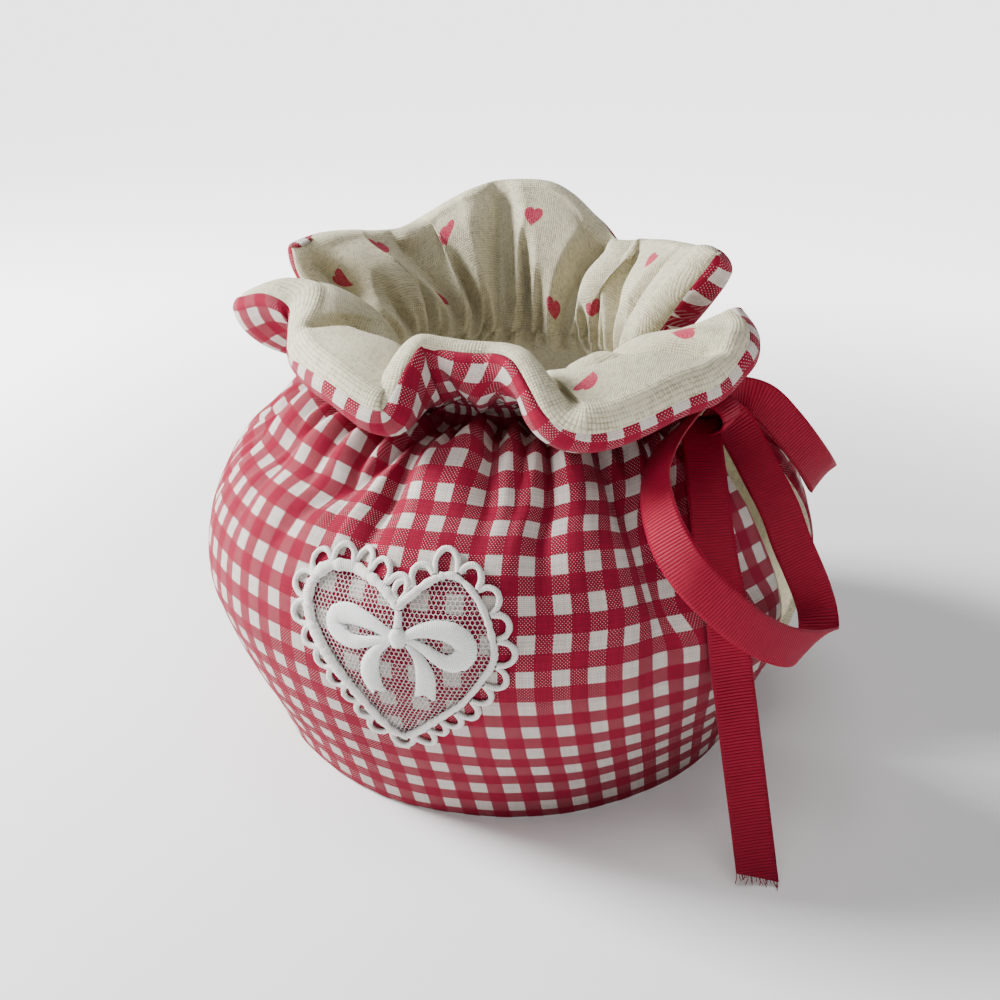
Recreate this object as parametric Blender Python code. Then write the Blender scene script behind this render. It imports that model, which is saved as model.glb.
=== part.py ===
"""A gathered gingham tea cosy with a printed linen lining, a lace heart and a ribbon bow.

The tables and functions work in millimetres about the cosy's own upright axis, and the
meshes are written in metres.  +Z is up and the hem stands on z = 0.  An angle called turn
is measured in degrees from the front (-Y) towards the handle side (+X), so the spout side
is at -90.  The front and the back are separate panels of gingham and of linen: they meet in
a side seam below each slot, part for the spout and the handle, are drawn in at the neck and
spread above it as a ruffle.
"""
import math

import bmesh
import bpy
from mathutils import Vector

MM = 0.001
AXIS = Vector((-5.85, 1.79, 0.0))   # the cosy's upright axis in the part's frame

GAP = 0.3                         # clearance between pieces that touch
NECK_GAP = 1.1                    # the same between the cloths where they turn at the neck
GINGHAM_THICK = 1.8
LINEN_THICK = 1.5
LINEN_EDGE = 1.2                  # linen showing past the gingham at the slots
LINEN_HEM = 1.2                   # the linen stops this far above the gingham's hem
ROLL_HEIGHT = 2.2                 # linen rolled over the gingham at the ruffle's hem
ROLL_ROUND = 0.7
GATHER_RISE = 0.8                 # half height of a gather on the gingham
GATHER_RISE_INSIDE = 0.6          # the same on the linen at the neck

# The cosy's side from the hem up to the neck, between the gingham and the linen.
SIDE = [  # radius, height
    (66.5, 0.0), (72.0, 15.4), (78.3, 30.2), (83.0, 45.0), (83.8, 55.0), (80.8, 67.0),
    (73.7, 77.5), (65.3, 84.2), (59.6, 89.8), (53.2, 94.2), (45.5, 95.8), (38.5, 95.7),
    (34.4, 97.4), (33.0, 101.0),
]
# The panels' edges at the two slots, by the length of cloth up from the hem.
HANDLE_SLOT = [  # length, front edge's turn, back edge's turn
    (0, 86, 86), (27, 86, 86), (34, 81, 88), (44, 76, 91), (58, 73, 92), (75, 71, 93),
    (87, 72.5, 93), (99, 77, 94), (115, 78, 95), (140, 79, 95),
]
SPOUT_SLOT = [  # length, front edge's turn, back edge's turn
    (0, -92, 268), (32, -92, 268), (40, -87, 264), (55, -81, 259), (75, -79, 257),
    (92, -81, 259), (110, -86, 263), (140, -86, 264),
]
# The ruffle's hem; start and lean are the cloth's steepness in degrees at neck and hem.
FRONT_RUFFLE = [  # turn, radius, height, start, lean
    (-82, 71, 118.5, 68, 70), (-75, 70.5, 121, 70, 70), (-69, 64, 124, 78, 74),
    (-63, 57.5, 122.5, 85, 82), (-56, 59, 117, 85, 75), (-49, 61, 113, 85, 60),
    (-38, 62, 111, 80, 60), (-27, 63, 110, 75, 60), (-13, 64, 107.5, 70, 60),
    (-9, 62, 108, 65, 70), (-8.5, 58, 112, 60, 80), (-9, 53, 118, 55, 90),
    (-7.5, 48, 122.5, 50, 100), (-2, 45.5, 122, 45, 105), (5, 45, 121.5, 45, 105),
    (12, 45, 121.5, 45, 105), (18, 47.5, 122, 50, 100), (22, 52, 121.5, 55, 90),
    (25, 58, 117, 60, 80), (28, 64, 110.5, 70, 70), (32.5, 68, 107.5, 75, 60),
    (40, 69, 107, 80, 60), (54, 70, 111, 80, 60), (63.5, 72, 113.5, 80, 60),
    (70, 72, 118, 80, 65), (79, 68.5, 121.5, 80, 75), (86, 62, 124.5, 83, 80),
]
BACK_RUFFLE = [  # turn, radius, height, start, lean
    (93, 56.5, 133, 90, 78), (97, 54, 136, 90, 82), (104, 52, 134.5, 90, 86),
    (120, 52.5, 131.5, 90, 75), (137, 52, 129.6, 90, 75), (149, 50, 128.7, 90, 75),
    (155, 45, 128.7, 90, 80), (168, 50, 133, 90, 80), (178, 51.5, 139, 90, 85),
    (186, 52, 142, 90, 85), (200, 51, 142.5, 90, 85), (207, 49, 142, 90, 85),
    (217, 51.5, 138, 90, 80), (231, 52, 132.3, 90, 80), (242, 48, 131.5, 90, 80),
    (251, 56, 131, 90, 75), (261, 60.5, 131.5, 85, 78), (270, 63, 130.5, 76, 84),
]
FRONT_GATHERS = 11
BACK_GATHERS = 8
COLUMNS_PER_GATHER = 4
# Cross-stations of the cloth: lengths up the side, then parts of the ruffle's own length.
SIDE_STATIONS = [0, 14, 28, 41, 53, 65, 77, 88, 98, 108, 118, 126]
RUFFLE_STATIONS = [0.0, 0.16, 0.36, 0.58, 0.80]
EDGE_BESIDE = 0.01                # part of the width that gives a side edge's direction
# How strongly the gathers stand out, by length up the side and by part of the ruffle.
GATHER_SIDE = [(0, 0.0), (62, 0.0), (84, 0.35), (104, 1.0), (140, 1.0)]
GATHER_RUFFLE = [(0.0, 1.0), (0.35, 0.6), (0.7, 0.0), (1.0, 0.0)]

# Lace heart: two round lobes over straight sides, edged with a cord and open loops.
HEART_TURN = 1.0
HEART_LENGTH = 61.5               # length of cloth from the hem up to its middle
HEART_TILT = 2.5
HEART_STEPS = 720                 # steps round the heart that place the loops
HEART_REACH = 42                  # further than any point of the lace from its middle
LOBE_RADIUS = 12.6
LOBE_CENTRE = (11.4, 7.2)
HEART_TIP = -27.0
LACE_THICK = 1.0
LACE_GAP = 0.8
LOOPS = 27
LOOP_MIDDLE = 4.1                 # from the heart's cord to the middle of a loop
LOOP_RADIUS = 3.3
LOOP_HOLE = 2.05
HOLE_CORNERS = 6
ARC_STEPS = 3                     # steps along each loop's outer arc
NOTCH_MOST = 0.95                 # widest half notch, as a part of a loop's radius
CORD_RADIUS = 0.9
CORD_STEPS = 30
CORD_LIFT = 1.05                  # the cord's middle above the lace's underside
BOW_RADIUS = 1.3
BOW_LOOPS = [  # middle x, middle y, half width, half height, tilt, lift
    (-8.6, 5.2, 7.4, 4.6, -22.0, 1.5), (9.0, 4.6, 7.8, 4.8, 14.0, 1.7),
]
BOW_TAILS = [  # lift, then the route's points
    (1.6, (-0.5, 1.5), (-5.5, -3.0), (-8.5, -8.5), (-5.5, -12.5)),
    (1.4, (1.0, 1.5), (5.0, -3.5), (6.5, -9.5), (9.5, -13.0)),
]
LACE_CELL = 10.0                  # largest face, so that the lace follows the belly

# Ribbon bow at the handle side; the places and the across directions are about the axis.
RIBBON_WIDE = 10.0
RIBBON_THICK = 0.9
RIBBON_STEP = 4.5
KNOT_MIDDLE = (57.2, -16.6, 100.4)
KNOT_HALF = (7.5, 6.0, 4.2)
KNOT_ROUND, KNOT_UP = 12, 8       # faces of the knot round and from top to bottom
FRONT_LOOP = [  # x, y, z, then the direction across the ribbon
    (57.8, -14.9, 101.1, 0.75, 0.1, 0.65), (63.1, -12.3, 97.3, 0.75, 0.3, 0.55),
    (67.3, -13.6, 92.5, 0.79, 0.4, 0.45), (72.3, -17.9, 86.9, 0.78, 0.45, 0.41),
    (78.5, -23.0, 79.6, 0.75, 0.49, 0.45), (82.4, -25.5, 72.4, 0.78, 0.48, 0.41),
    (85.8, -26.2, 66.2, 0.81, 0.46, 0.36), (88.6, -25.6, 60.0, 0.86, 0.43, 0.27),
    (90.8, -26.0, 54.3, 0.86, 0.4, 0.3), (91.9, -30.0, 50.6, 0.79, 0.37, 0.45),
    (91.1, -37.8, 51.3, 0.56, 0.41, 0.7), (88.3, -46.0, 54.3, 0.3, 0.42, 0.85),
    (83.6, -53.3, 59.0, 0.2, 0.41, 0.88), (77.8, -59.0, 65.0, 0.34, 0.42, 0.82),
    (72.2, -62.2, 71.0, 0.53, 0.4, 0.73), (65.9, -63.4, 77.3, 0.68, 0.3, 0.65),
    (59.8, -61.4, 83.6, 0.82, 0.05, 0.5), (54.8, -55.8, 89.6, 0.8, -0.32, 0.46),
    (51.8, -47.7, 94.0, 0.68, -0.55, 0.46), (51.7, -38.1, 97.7, 0.7, -0.42, 0.55),
    (53.6, -28.6, 100.3, 0.73, -0.16, 0.66), (55.9, -19.8, 101.2, 0.7, 0, 0.7),
]
BACK_LOOP = [  # x, y, z, then the direction across the ribbon
    (57.9, -13.2, 100.9, 0.45, 0.45, 0.75), (63.2, -5.0, 101.4, 0.5, 0.5, 0.7),
    (69.5, -2.8, 99.8, 0.5, 0.52, 0.69), (75.7, -2.0, 94.2, 0.5, 0.52, 0.69),
    (81.6, -0.2, 86.8, 0.5, 0.52, 0.69), (85.5, 4.4, 79.6, 0.5, 0.52, 0.69),
    (85.9, 9.5, 75.8, 0.5, 0.52, 0.69), (83.7, 13.7, 77.2, 0.5, 0.52, 0.69),
    (78.2, 14.2, 83.7, 0.5, 0.52, 0.69), (70.7, 9.7, 90.6, 0.5, 0.52, 0.69),
    (65.0, 1.5, 96.7, 0.5, 0.52, 0.69), (59.4, -9.8, 100.5, 0.45, 0.45, 0.75),
]
TAIL = [  # x, y, z, then the direction across the ribbon
    (55.8, -17.0, 98.4, 0.95, 0.33, 0), (58.1, -23.6, 95.7, 0.95, 0.33, 0),
    (61.4, -32.5, 89.3, 0.95, 0.33, 0), (65.1, -42.6, 82.1, 0.94, 0.33, 0.02),
    (68.0, -48.3, 75.1, 0.94, 0.34, 0.04), (70.9, -51.3, 67.1, 0.94, 0.35, 0.05),
    (73.8, -53.6, 52.3, 0.94, 0.35, 0.05), (77.2, -57.3, 39.0, 0.93, 0.36, 0.04),
    (80.6, -61.3, 26.0, 0.93, 0.36, 0.02), (84.0, -65.3, 13.0, 0.93, 0.36, 0),
    (87.2, -69.2, 0.8, 0.93, 0.36, 0),
]
CASING_END = [  # x, y, z, then the direction across the ribbon
    (57.0, -15.3, 101.7, 0.1, 0.8, 0.6), (50.6, -9.8, 102.8, 0.1, 0.8, 0.6),
    (43.5, -5.6, 102.8, 0.1, 0.85, 0.5), (37.0, -2.9, 102.8, 0.05, 0.9, 0.4),
]


# ---------------------------------------------------------------- curves through tables
def curve_at(rows, place):
    """The columns after the first, read at a place on the smooth curve through the rows."""
    if place <= rows[0][0]:
        return rows[0][1:]
    if place >= rows[-1][0]:
        return rows[-1][1:]
    index = next(i for i in range(len(rows) - 1) if place <= rows[i + 1][0])
    left, right = rows[index], rows[index + 1]
    span = right[0] - left[0]
    part = (place - left[0]) / span
    return tuple(hermite(left[column], slope_at(rows, index, column) * span,
                         right[column], slope_at(rows, index + 1, column) * span, part)
                 for column in range(1, len(left)))


def slope_at(rows, index, column):
    """A column's slope at a row; level beside a level stretch, so that the stretch stays level."""
    before, after = rows[max(index - 1, 0)], rows[min(index + 1, len(rows) - 1)]
    inside = 0 < index < len(rows) - 1
    if inside and rows[index][column] in (before[column], after[column]):
        return 0.0
    return (after[column] - before[column]) / (after[0] - before[0])


def hermite(start, start_slope, end, end_slope, part):
    """A cubic from start to end with the given slopes; numbers or vectors."""
    square, cube = part ** 2, part ** 3
    return (start * (2 * cube - 3 * square + 1) + start_slope * (cube - 2 * square + part)
            + end * (3 * square - 2 * cube) + end_slope * (cube - square))


def linear_at(rows, place):
    """The second column read at a place on the straight lines through the rows."""
    for (left, low), (right, high) in zip(rows, rows[1:]):
        if place <= right:
            return low + (high - low) * max(place - left, 0) / (right - left)
    return rows[-1][1]


def around(turn, radius, height):
    """The point at a turn from the front, a distance from the axis and a height."""
    angle = math.radians(turn)
    return Vector((radius * math.sin(angle), -radius * math.cos(angle), height))


def by_length(points, rows):
    """Rows led by the length walked along their points."""
    walked = 0.0
    led = [(0.0, *rows[0])]
    for last, point, row in zip(points, points[1:], rows[1:]):
        walked += (point - last).length
        led.append((walked, *row))
    return led


SIDE_BY_LENGTH = by_length([Vector((r, z)) for r, z in SIDE], SIDE)
SIDE_LENGTH = SIDE_BY_LENGTH[-1][0]


# ---------------------------------------------------------------- the cloth's surface
class Panel:
    """The front or the back: where the surface between its gingham and its linen lies."""

    def __init__(self, ruffle, gathers, first_edge, last_edge):
        points = [around(*row[:3]) for row in ruffle]
        self.hem = by_length(points, ruffle)
        self.gathers = gathers
        self.first_edge = first_edge
        self.last_edge = last_edge

    def turn(self, across, length):
        """The turn of the cloth at a part of its width, on the side or at the neck."""
        first, last = self.first_edge(length), self.last_edge(length)
        return first + (last - first) * across

    def on_side(self, across, length):
        """A point between hem and neck, by the length of cloth up from the hem."""
        radius, height = curve_at(SIDE_BY_LENGTH, length)
        return around(self.turn(across, length), radius, height)

    def on_ruffle(self, across, part):
        """A point between the neck, part 0, and the ruffle's hem, part 1."""
        turn, radius, height, start, lean = curve_at(self.hem, across * self.hem[-1][0])
        neck_turn = self.turn(across, SIDE_LENGTH)
        neck = around(neck_turn, *SIDE[-1])
        hem = around(turn, radius, height)
        reach = (hem - neck).length
        rise = around(neck_turn, math.cos(math.radians(start)), math.sin(math.radians(start)))
        fall = around(turn, math.cos(math.radians(lean)), math.sin(math.radians(lean)))
        return hermite(neck, rise * reach, hem, fall * reach, part)

    def point(self, across, station):
        """A point at a station: ("side", length) or ("ruffle", part)."""
        kind, value = station
        return self.on_side(across, value) if kind == "side" else self.on_ruffle(across, value)

    def outward(self, across, station):
        """The surface's direction out of the cosy; level at the hem, which stands flat."""
        kind, value = station
        if station == ("side", 0):
            return around(self.turn(across, 0), 1.0, 0.0)
        step = 0.004
        left, right = max(across - step, 0.0), min(across + step, 1.0)
        rise = 0.02 if kind == "ruffle" else 0.5
        top = 1.0 if kind == "ruffle" else SIDE_LENGTH
        low, high = max(value - rise, 0.0), min(value + rise, top)
        sideways = self.point(right, station) - self.point(left, station)
        upwards = self.point(across, (kind, high)) - self.point(across, (kind, low))
        return sideways.cross(upwards).normalized()

    def ruffle_reach(self, across):
        """The ruffle's length of cloth from the neck to its hem."""
        parts = [self.on_ruffle(across, i / 12) for i in range(13)]
        return sum((b - a).length for a, b in zip(parts, parts[1:]))

    def gather(self, across, station):
        """How far a gather stands out here, from -1 in a trough to 1 on a crest."""
        kind, value = station
        strength = linear_at(GATHER_SIDE if kind == "side" else GATHER_RUFFLE, value)
        return strength * math.cos(2 * math.pi * self.gathers * across)


def slot_edge(slot, column, seam_side):
    """An edge of a slot as a function of the length up; at the seam it keeps half a gap."""
    def edge(length):
        values = curve_at(slot, length)
        radius = curve_at(SIDE_BY_LENGTH, length)[0]
        return values[column] + seam_side * math.degrees(GAP / 2 / radius)
    return edge


FRONT = Panel(FRONT_RUFFLE, FRONT_GATHERS,
              slot_edge(SPOUT_SLOT, 0, 1), slot_edge(HANDLE_SLOT, 0, -1))
BACK = Panel(BACK_RUFFLE, BACK_GATHERS,
             slot_edge(HANDLE_SLOT, 1, 1), slot_edge(SPOUT_SLOT, 1, -1))


def slot_opening(slot, station):
    """0 where the side seam is closed and 1 where the slot or the ruffle is open."""
    kind, value = station
    if kind == "ruffle":
        return 1.0
    front, back = curve_at(slot, value)
    return min(((back - front) % 360) / 4.0, 1.0)


# ---------------------------------------------------------------- cloth solids
def loft_sheet(name, outside, inside):
    """A closed sheet between two grids of points, [column][station], in millimetres."""
    mesh = bmesh.new()
    grids = []
    for grid in (outside, inside):
        grids.append([[mesh.verts.new((point + AXIS) * MM) for point in row] for row in grid])
    out, back = grids
    last_column, last_station = len(out) - 1, len(out[0]) - 1

    def quad(a, b, c, d):
        mesh.faces.new((a, b, c))
        mesh.faces.new((a, c, d))

    for i in range(last_column):
        for k in range(last_station):
            quad(out[i][k], out[i + 1][k], out[i + 1][k + 1], out[i][k + 1])
            mesh.faces.new((back[i + 1][k + 1], back[i + 1][k], back[i][k]))
            mesh.faces.new((back[i][k + 1], back[i + 1][k + 1], back[i][k]))
        quad(back[i][0], back[i + 1][0], out[i + 1][0], out[i][0])
        quad(out[i + 1][last_station], back[i + 1][last_station],
             back[i][last_station], out[i][last_station])
    for k in range(last_station):
        quad(out[0][k + 1], back[0][k + 1], back[0][k], out[0][k])
        quad(out[last_column][k], back[last_column][k],
             back[last_column][k + 1], out[last_column][k + 1])
    return mesh_object(name, mesh)


def mesh_object(name, mesh):
    """An object made from a bmesh, with its faces pointing out."""
    bmesh.ops.recalc_face_normals(mesh, faces=mesh.faces)
    data = bpy.data.meshes.new(name)
    mesh.to_mesh(data)
    mesh.free()
    return bpy.data.objects.new(name, data)


def stations():
    """The stations that both cloths share, up to the last one below the rolled hem."""
    side = [("side", length) for length in SIDE_STATIONS]
    return side + [("ruffle", part) for part in RUFFLE_STATIONS]


def gingham_panel(name, panel):
    """The gingham of one panel, gathered at the neck, up to just below the rolled hem."""
    columns = panel.gathers * COLUMNS_PER_GATHER
    outside, inside = [], []
    for i in range(columns + 1):
        across = i / columns
        top = 1.0 - (ROLL_HEIGHT + GAP) / panel.ruffle_reach(across)
        outer_row, inner_row = [], []
        for station in stations() + [("ruffle", top)]:
            point = panel.point(across, station)
            out = panel.outward(across, station)
            rise = GATHER_RISE * (0.5 + panel.gather(across, station)) if station[1] else 0.0
            outer_row.append(point + out * (GINGHAM_THICK + rise))
            inner_row.append(point)
        outside.append(outer_row)
        inside.append(inner_row)
    return loft_sheet(name, outside, inside)


def lining_panel(name, panel, first_slot, last_slot):
    """The linen of one panel; it rolls over the gingham's top edge and shows at the slots."""
    columns = panel.gathers * COLUMNS_PER_GATHER
    outside, inside = [], []
    for i in range(columns + 1):
        across = i / columns
        reach = panel.ruffle_reach(across)
        roll = ("ruffle", 1.0 - ROLL_HEIGHT / reach)
        shoulder = ("ruffle", 1.0 - ROLL_ROUND / reach)
        cloth = [("side", LINEN_HEM)] + stations()[1:] + [roll]
        rows = [(station, -gap, station, -gap - LINEN_THICK)
                for station, gap in ((station, cloth_gap(station)) for station in cloth)]
        above = ("ruffle", roll[1] + GAP / reach)
        rows.append((roll, GINGHAM_THICK, above, -GAP - LINEN_THICK))
        rows.append((shoulder, GINGHAM_THICK, shoulder, -GAP - LINEN_THICK))
        rows.append((("ruffle", 1.0), GINGHAM_THICK / 2, ("ruffle", 1.0), -LINEN_THICK / 2))
        outer_row, inner_row = [], []
        for out_station, out_rise, in_station, in_rise in rows:
            gather = GATHER_RISE_INSIDE * panel.gather(across, in_station)
            for row, station, rise in ((outer_row, out_station, out_rise),
                                       (inner_row, in_station, in_rise - gather)):
                point = panel.point(across, station) + panel.outward(across, station) * rise
                row.append(point + edge_shift(panel, i / columns, station,
                                              first_slot, last_slot))
        outside.append(outer_row)
        inside.append(inner_row)
    return loft_sheet(name, outside, inside)


def cloth_gap(station):
    """The gap between gingham and linen: wider where both turn sharply."""
    at_neck = station in (("side", SIDE_STATIONS[-1]), ("ruffle", RUFFLE_STATIONS[0]))
    return NECK_GAP if at_neck else GAP


def edge_shift(panel, across, station, first_slot, last_slot):
    """The linen's side edges reach past the gingham wherever the slot beside them is open."""
    if across not in (0.0, 1.0):
        return Vector((0, 0, 0))
    slot = first_slot if across == 0.0 else last_slot
    beside = EDGE_BESIDE if across == 0.0 else 1.0 - EDGE_BESIDE
    away = panel.point(across, station) - panel.point(beside, station)
    return away.normalized() * LINEN_EDGE * slot_opening(slot, station)


# ---------------------------------------------------------------- lace heart
def heart_point(part, grow=0.0):
    """A point on the heart, part 0 at the cleft round to 1, grown outwards by a length."""
    centre_x, centre_y = LOBE_CENTRE
    reach = math.hypot(centre_x, centre_y - HEART_TIP)
    tangent = math.atan2(centre_x, centre_y - HEART_TIP) + math.asin(LOBE_RADIUS / reach)
    cleft_angle = math.acos(-centre_x / LOBE_RADIUS)
    lobe_sweep = cleft_angle + tangent
    lobe_length = LOBE_RADIUS * lobe_sweep
    side_length = math.sqrt(reach ** 2 - LOBE_RADIUS ** 2)
    half = lobe_length + side_length
    along = part * 2 * half
    mirror = 1.0 if along <= half else -1.0
    along = min(along, 2 * half - along)
    if along <= lobe_length:
        angle = cleft_angle - along / LOBE_RADIUS
        x = centre_x + (LOBE_RADIUS + grow) * math.cos(angle)
        y = centre_y + (LOBE_RADIUS + grow) * math.sin(angle)
    else:
        angle = -tangent
        down = along - lobe_length
        x = centre_x + (LOBE_RADIUS + grow) * math.cos(angle) + down * math.sin(angle)
        y = centre_y + (LOBE_RADIUS + grow) * math.sin(angle) - down * math.cos(angle)
    return Vector((mirror * max(x, 0.0), y))


def loop_middles():
    """The middles of the edging's loops, evenly spaced round the heart."""
    fine = [heart_point(i / HEART_STEPS, LOOP_MIDDLE) for i in range(HEART_STEPS + 1)]
    fine = [point for point in fine if point.x]
    walked = by_length(fine, [tuple(point) for point in fine])
    total = walked[-1][0]
    return [Vector(curve_at(walked, total * i / LOOPS)) for i in range(LOOPS)]


def flat_outline(name, splines, thick, lift):
    """A flat solid from closed outlines; an outline inside another is a hole."""
    curve = bpy.data.curves.new(name, "CURVE")
    curve.dimensions = "2D"
    curve.fill_mode = "BOTH"
    curve.extrude = thick / 2
    for points in splines:
        spline = curve.splines.new("POLY")
        spline.points.add(len(points) - 1)
        for slot, point in zip(spline.points, points):
            slot.co = (point.x, point.y, 0.0, 1.0)
        spline.use_cyclic_u = True
    return curve_to_mesh(name, curve, lift)


def tube(name, points, radius, lift, closed):
    """A round cord along points on the lace."""
    curve = bpy.data.curves.new(name, "CURVE")
    curve.dimensions = "3D"
    curve.bevel_depth = radius
    curve.bevel_resolution = 0
    curve.use_fill_caps = True
    spline = curve.splines.new("POLY")
    spline.points.add(len(points) - 1)
    for slot, point in zip(spline.points, points):
        slot.co = (point.x, point.y, 0.0, 1.0)
    spline.use_cyclic_u = closed
    return curve_to_mesh(name, curve, lift)


def curve_to_mesh(name, curve, lift):
    """The welded mesh of a curve, lifted above the lace's underside."""
    source = bpy.data.objects.new(name, curve)
    bpy.context.scene.collection.objects.link(source)
    bpy.context.view_layer.update()
    evaluated = source.evaluated_get(bpy.context.evaluated_depsgraph_get())
    data = bpy.data.meshes.new_from_object(evaluated)
    bpy.data.objects.remove(source)
    mesh = bmesh.new()
    mesh.from_mesh(data)
    bmesh.ops.remove_doubles(mesh, verts=mesh.verts, dist=0.0001)
    bmesh.ops.translate(mesh, verts=mesh.verts, vec=(0, 0, lift))
    return mesh_object(name, mesh)


def loop_ring(middle, radius, sides):
    """The corners of one loop of the edging."""
    return [middle + Vector((math.cos(a), math.sin(a))) * radius
            for a in (2 * math.pi * i / sides for i in range(sides))]


def edging_outline(middles):
    """The scalloped outer outline: the outer arc of each loop, from one notch to the next."""
    outline = []
    for i, middle in enumerate(middles):
        last, following = middles[i - 1], middles[(i + 1) % len(middles)]
        start = notch(last, middle)
        end = notch(middle, following)
        first_angle = math.atan2(start.y - middle.y, start.x - middle.x)
        sweep = (first_angle - math.atan2(end.y - middle.y, end.x - middle.x)) % (2 * math.pi)
        for step in range(ARC_STEPS):
            angle = first_angle - sweep * step / ARC_STEPS
            radius = LOOP_RADIUS if step else (start - middle).length
            outline.append(middle + Vector((math.cos(angle), math.sin(angle))) * radius)
    return outline


def notch(one, other):
    """Where two neighbouring loops' outer arcs meet."""
    middle = (one + other) / 2
    along = other - one
    away = Vector((-along.y, along.x)).normalized()
    half = min(along.length / 2, LOOP_RADIUS * NOTCH_MOST)
    return middle + away * math.sqrt(LOOP_RADIUS ** 2 - half ** 2)


def tilted_oval(middle_x, middle_y, half_wide, half_high, tilt, corners=8):
    """The corners of an oval turned by its tilt."""
    turned = math.radians(tilt)
    points = []
    for i in range(corners):
        angle = 2 * math.pi * i / corners
        x, y = half_wide * math.cos(angle), half_high * math.sin(angle)
        points.append(Vector((middle_x + x * math.cos(turned) - y * math.sin(turned),
                              middle_y + x * math.sin(turned) + y * math.cos(turned))))
    return points


def join(target, pieces):
    """The target united with the pieces, which are removed."""
    scene = bpy.context.scene.collection
    scene.objects.link(target)
    for piece in pieces:
        scene.objects.link(piece)
        union = target.modifiers.new("union", "BOOLEAN")
        union.operation = "UNION"
        union.solver = "MANIFOLD"
        union.object = piece
        bpy.context.view_layer.update()
        evaluated = target.evaluated_get(bpy.context.evaluated_depsgraph_get())
        target.data = bpy.data.meshes.new_from_object(evaluated)
        target.modifiers.clear()
        bpy.data.objects.remove(piece)
    scene.objects.unlink(target)
    return target


def lace_heart(name):
    """The lace: a net heart with a corded edge, open loops round it and a raised bow."""
    middles = loop_middles()
    holes = [loop_ring(middle, LOOP_HOLE, HOLE_CORNERS) for middle in middles]
    plate = flat_outline(name, [edging_outline(middles)] + holes, LACE_THICK, LACE_THICK / 2)
    cord = tube("cord", [heart_point(i / CORD_STEPS) for i in range(CORD_STEPS)], CORD_RADIUS,
                CORD_LIFT, closed=True)
    loops = [tube("bow_loop", tilted_oval(*row[:5]), BOW_RADIUS, row[5], closed=True)
             for row in BOW_LOOPS]
    tails = [tube("bow_tail", [Vector(point) for point in route], BOW_RADIUS, lift, closed=False)
             for lift, *route in BOW_TAILS]
    heart = join(plate, [cord] + loops + tails)
    lay_on_cloth(heart)
    return heart


def lay_on_cloth(heart):
    """Cut the flat lace into small faces and lay it over the front's gingham."""
    mesh = bmesh.new()
    mesh.from_mesh(heart.data)
    bmesh.ops.dissolve_limit(mesh, angle_limit=0.01, verts=mesh.verts, edges=mesh.edges)
    reach = int(HEART_REACH / LACE_CELL)
    for axis in (Vector((1, 0, 0)), Vector((0, 1, 0))):
        for i in range(-reach, reach + 1):
            everything = mesh.verts[:] + mesh.edges[:] + mesh.faces[:]
            bmesh.ops.bisect_plane(mesh, geom=everything, dist=0.0001,
                                   plane_co=axis * i * LACE_CELL, plane_no=axis)
    bmesh.ops.triangulate(mesh, faces=mesh.faces)
    turned = math.radians(HEART_TILT)
    for vert in mesh.verts:
        x = vert.co.x * math.cos(turned) - vert.co.y * math.sin(turned)
        y = vert.co.x * math.sin(turned) + vert.co.y * math.cos(turned)
        vert.co = front_cloth(x, y, vert.co.z + LACE_GAP)
    bmesh.ops.recalc_face_normals(mesh, faces=mesh.faces)
    mesh.to_mesh(heart.data)
    mesh.free()


def front_cloth(x, y, lift):
    """The point x across and y up from the heart's middle, lifted off the gingham."""
    length = HEART_LENGTH + y
    station = ("side", length)
    radius = curve_at(SIDE_BY_LENGTH, length)[0] + GINGHAM_THICK
    turn = HEART_TURN + math.degrees(x / radius)
    first, last = FRONT.first_edge(length), FRONT.last_edge(length)
    across = (turn - first) / (last - first)
    rise = GATHER_RISE * (0.5 + FRONT.gather(across, station))
    point = FRONT.point(across, station)
    out = FRONT.outward(across, station)
    return (point + out * (GINGHAM_THICK + rise + lift) + AXIS) * MM


# ---------------------------------------------------------------- ribbon
def ribbon_run(name, rows):
    """A flat band along a route whose rows give its middle and its across direction."""
    led = by_length([Vector(row[:3]) for row in rows], rows)
    total = led[-1][0]
    count = max(round(total / RIBBON_STEP), 2)
    middles = [Vector(curve_at(led, total * i / count)[:3]) for i in range(count + 1)]
    mesh = bmesh.new()
    sections = []
    for i, middle in enumerate(middles):
        ahead = (middles[min(i + 1, count)] - middles[max(i - 1, 0)]).normalized()
        across = Vector(curve_at(led, total * i / count)[3:])
        across = (across - ahead * across.dot(ahead)).normalized() * (RIBBON_WIDE / 2)
        face = ahead.cross(across).normalized() * (RIBBON_THICK / 2)
        corners = (across + face, across - face, -across - face, face - across)
        sections.append([mesh.verts.new((middle + corner + AXIS) * MM) for corner in corners])
    for one, other in zip(sections, sections[1:]):
        for k in range(4):
            after = (k + 1) % 4
            mesh.faces.new((one[k], one[after], other[after]))
            mesh.faces.new((one[k], other[after], other[k]))
    for end in (sections[0], sections[-1]):
        mesh.faces.new(end)
    return mesh_object(name, mesh)


def ribbon_knot(name):
    """The bow's knot: a soft rounded lump that the runs leave."""
    mesh = bmesh.new()
    bmesh.ops.create_uvsphere(mesh, u_segments=KNOT_ROUND, v_segments=KNOT_UP, radius=1.0)
    for vert in mesh.verts:
        reach = Vector([vert.co[k] * KNOT_HALF[k] for k in range(3)])
        vert.co = (Vector(KNOT_MIDDLE) + reach + AXIS) * MM
    return mesh_object(name, mesh)


def ribbon_bow(name):
    """The ribbon: two loops, one hanging tail and the run out of the neck, in one knot."""
    runs = [ribbon_run("run", rows) for rows in (TAIL, FRONT_LOOP, BACK_LOOP, CASING_END)]
    return join(ribbon_knot(name), runs)


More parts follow.
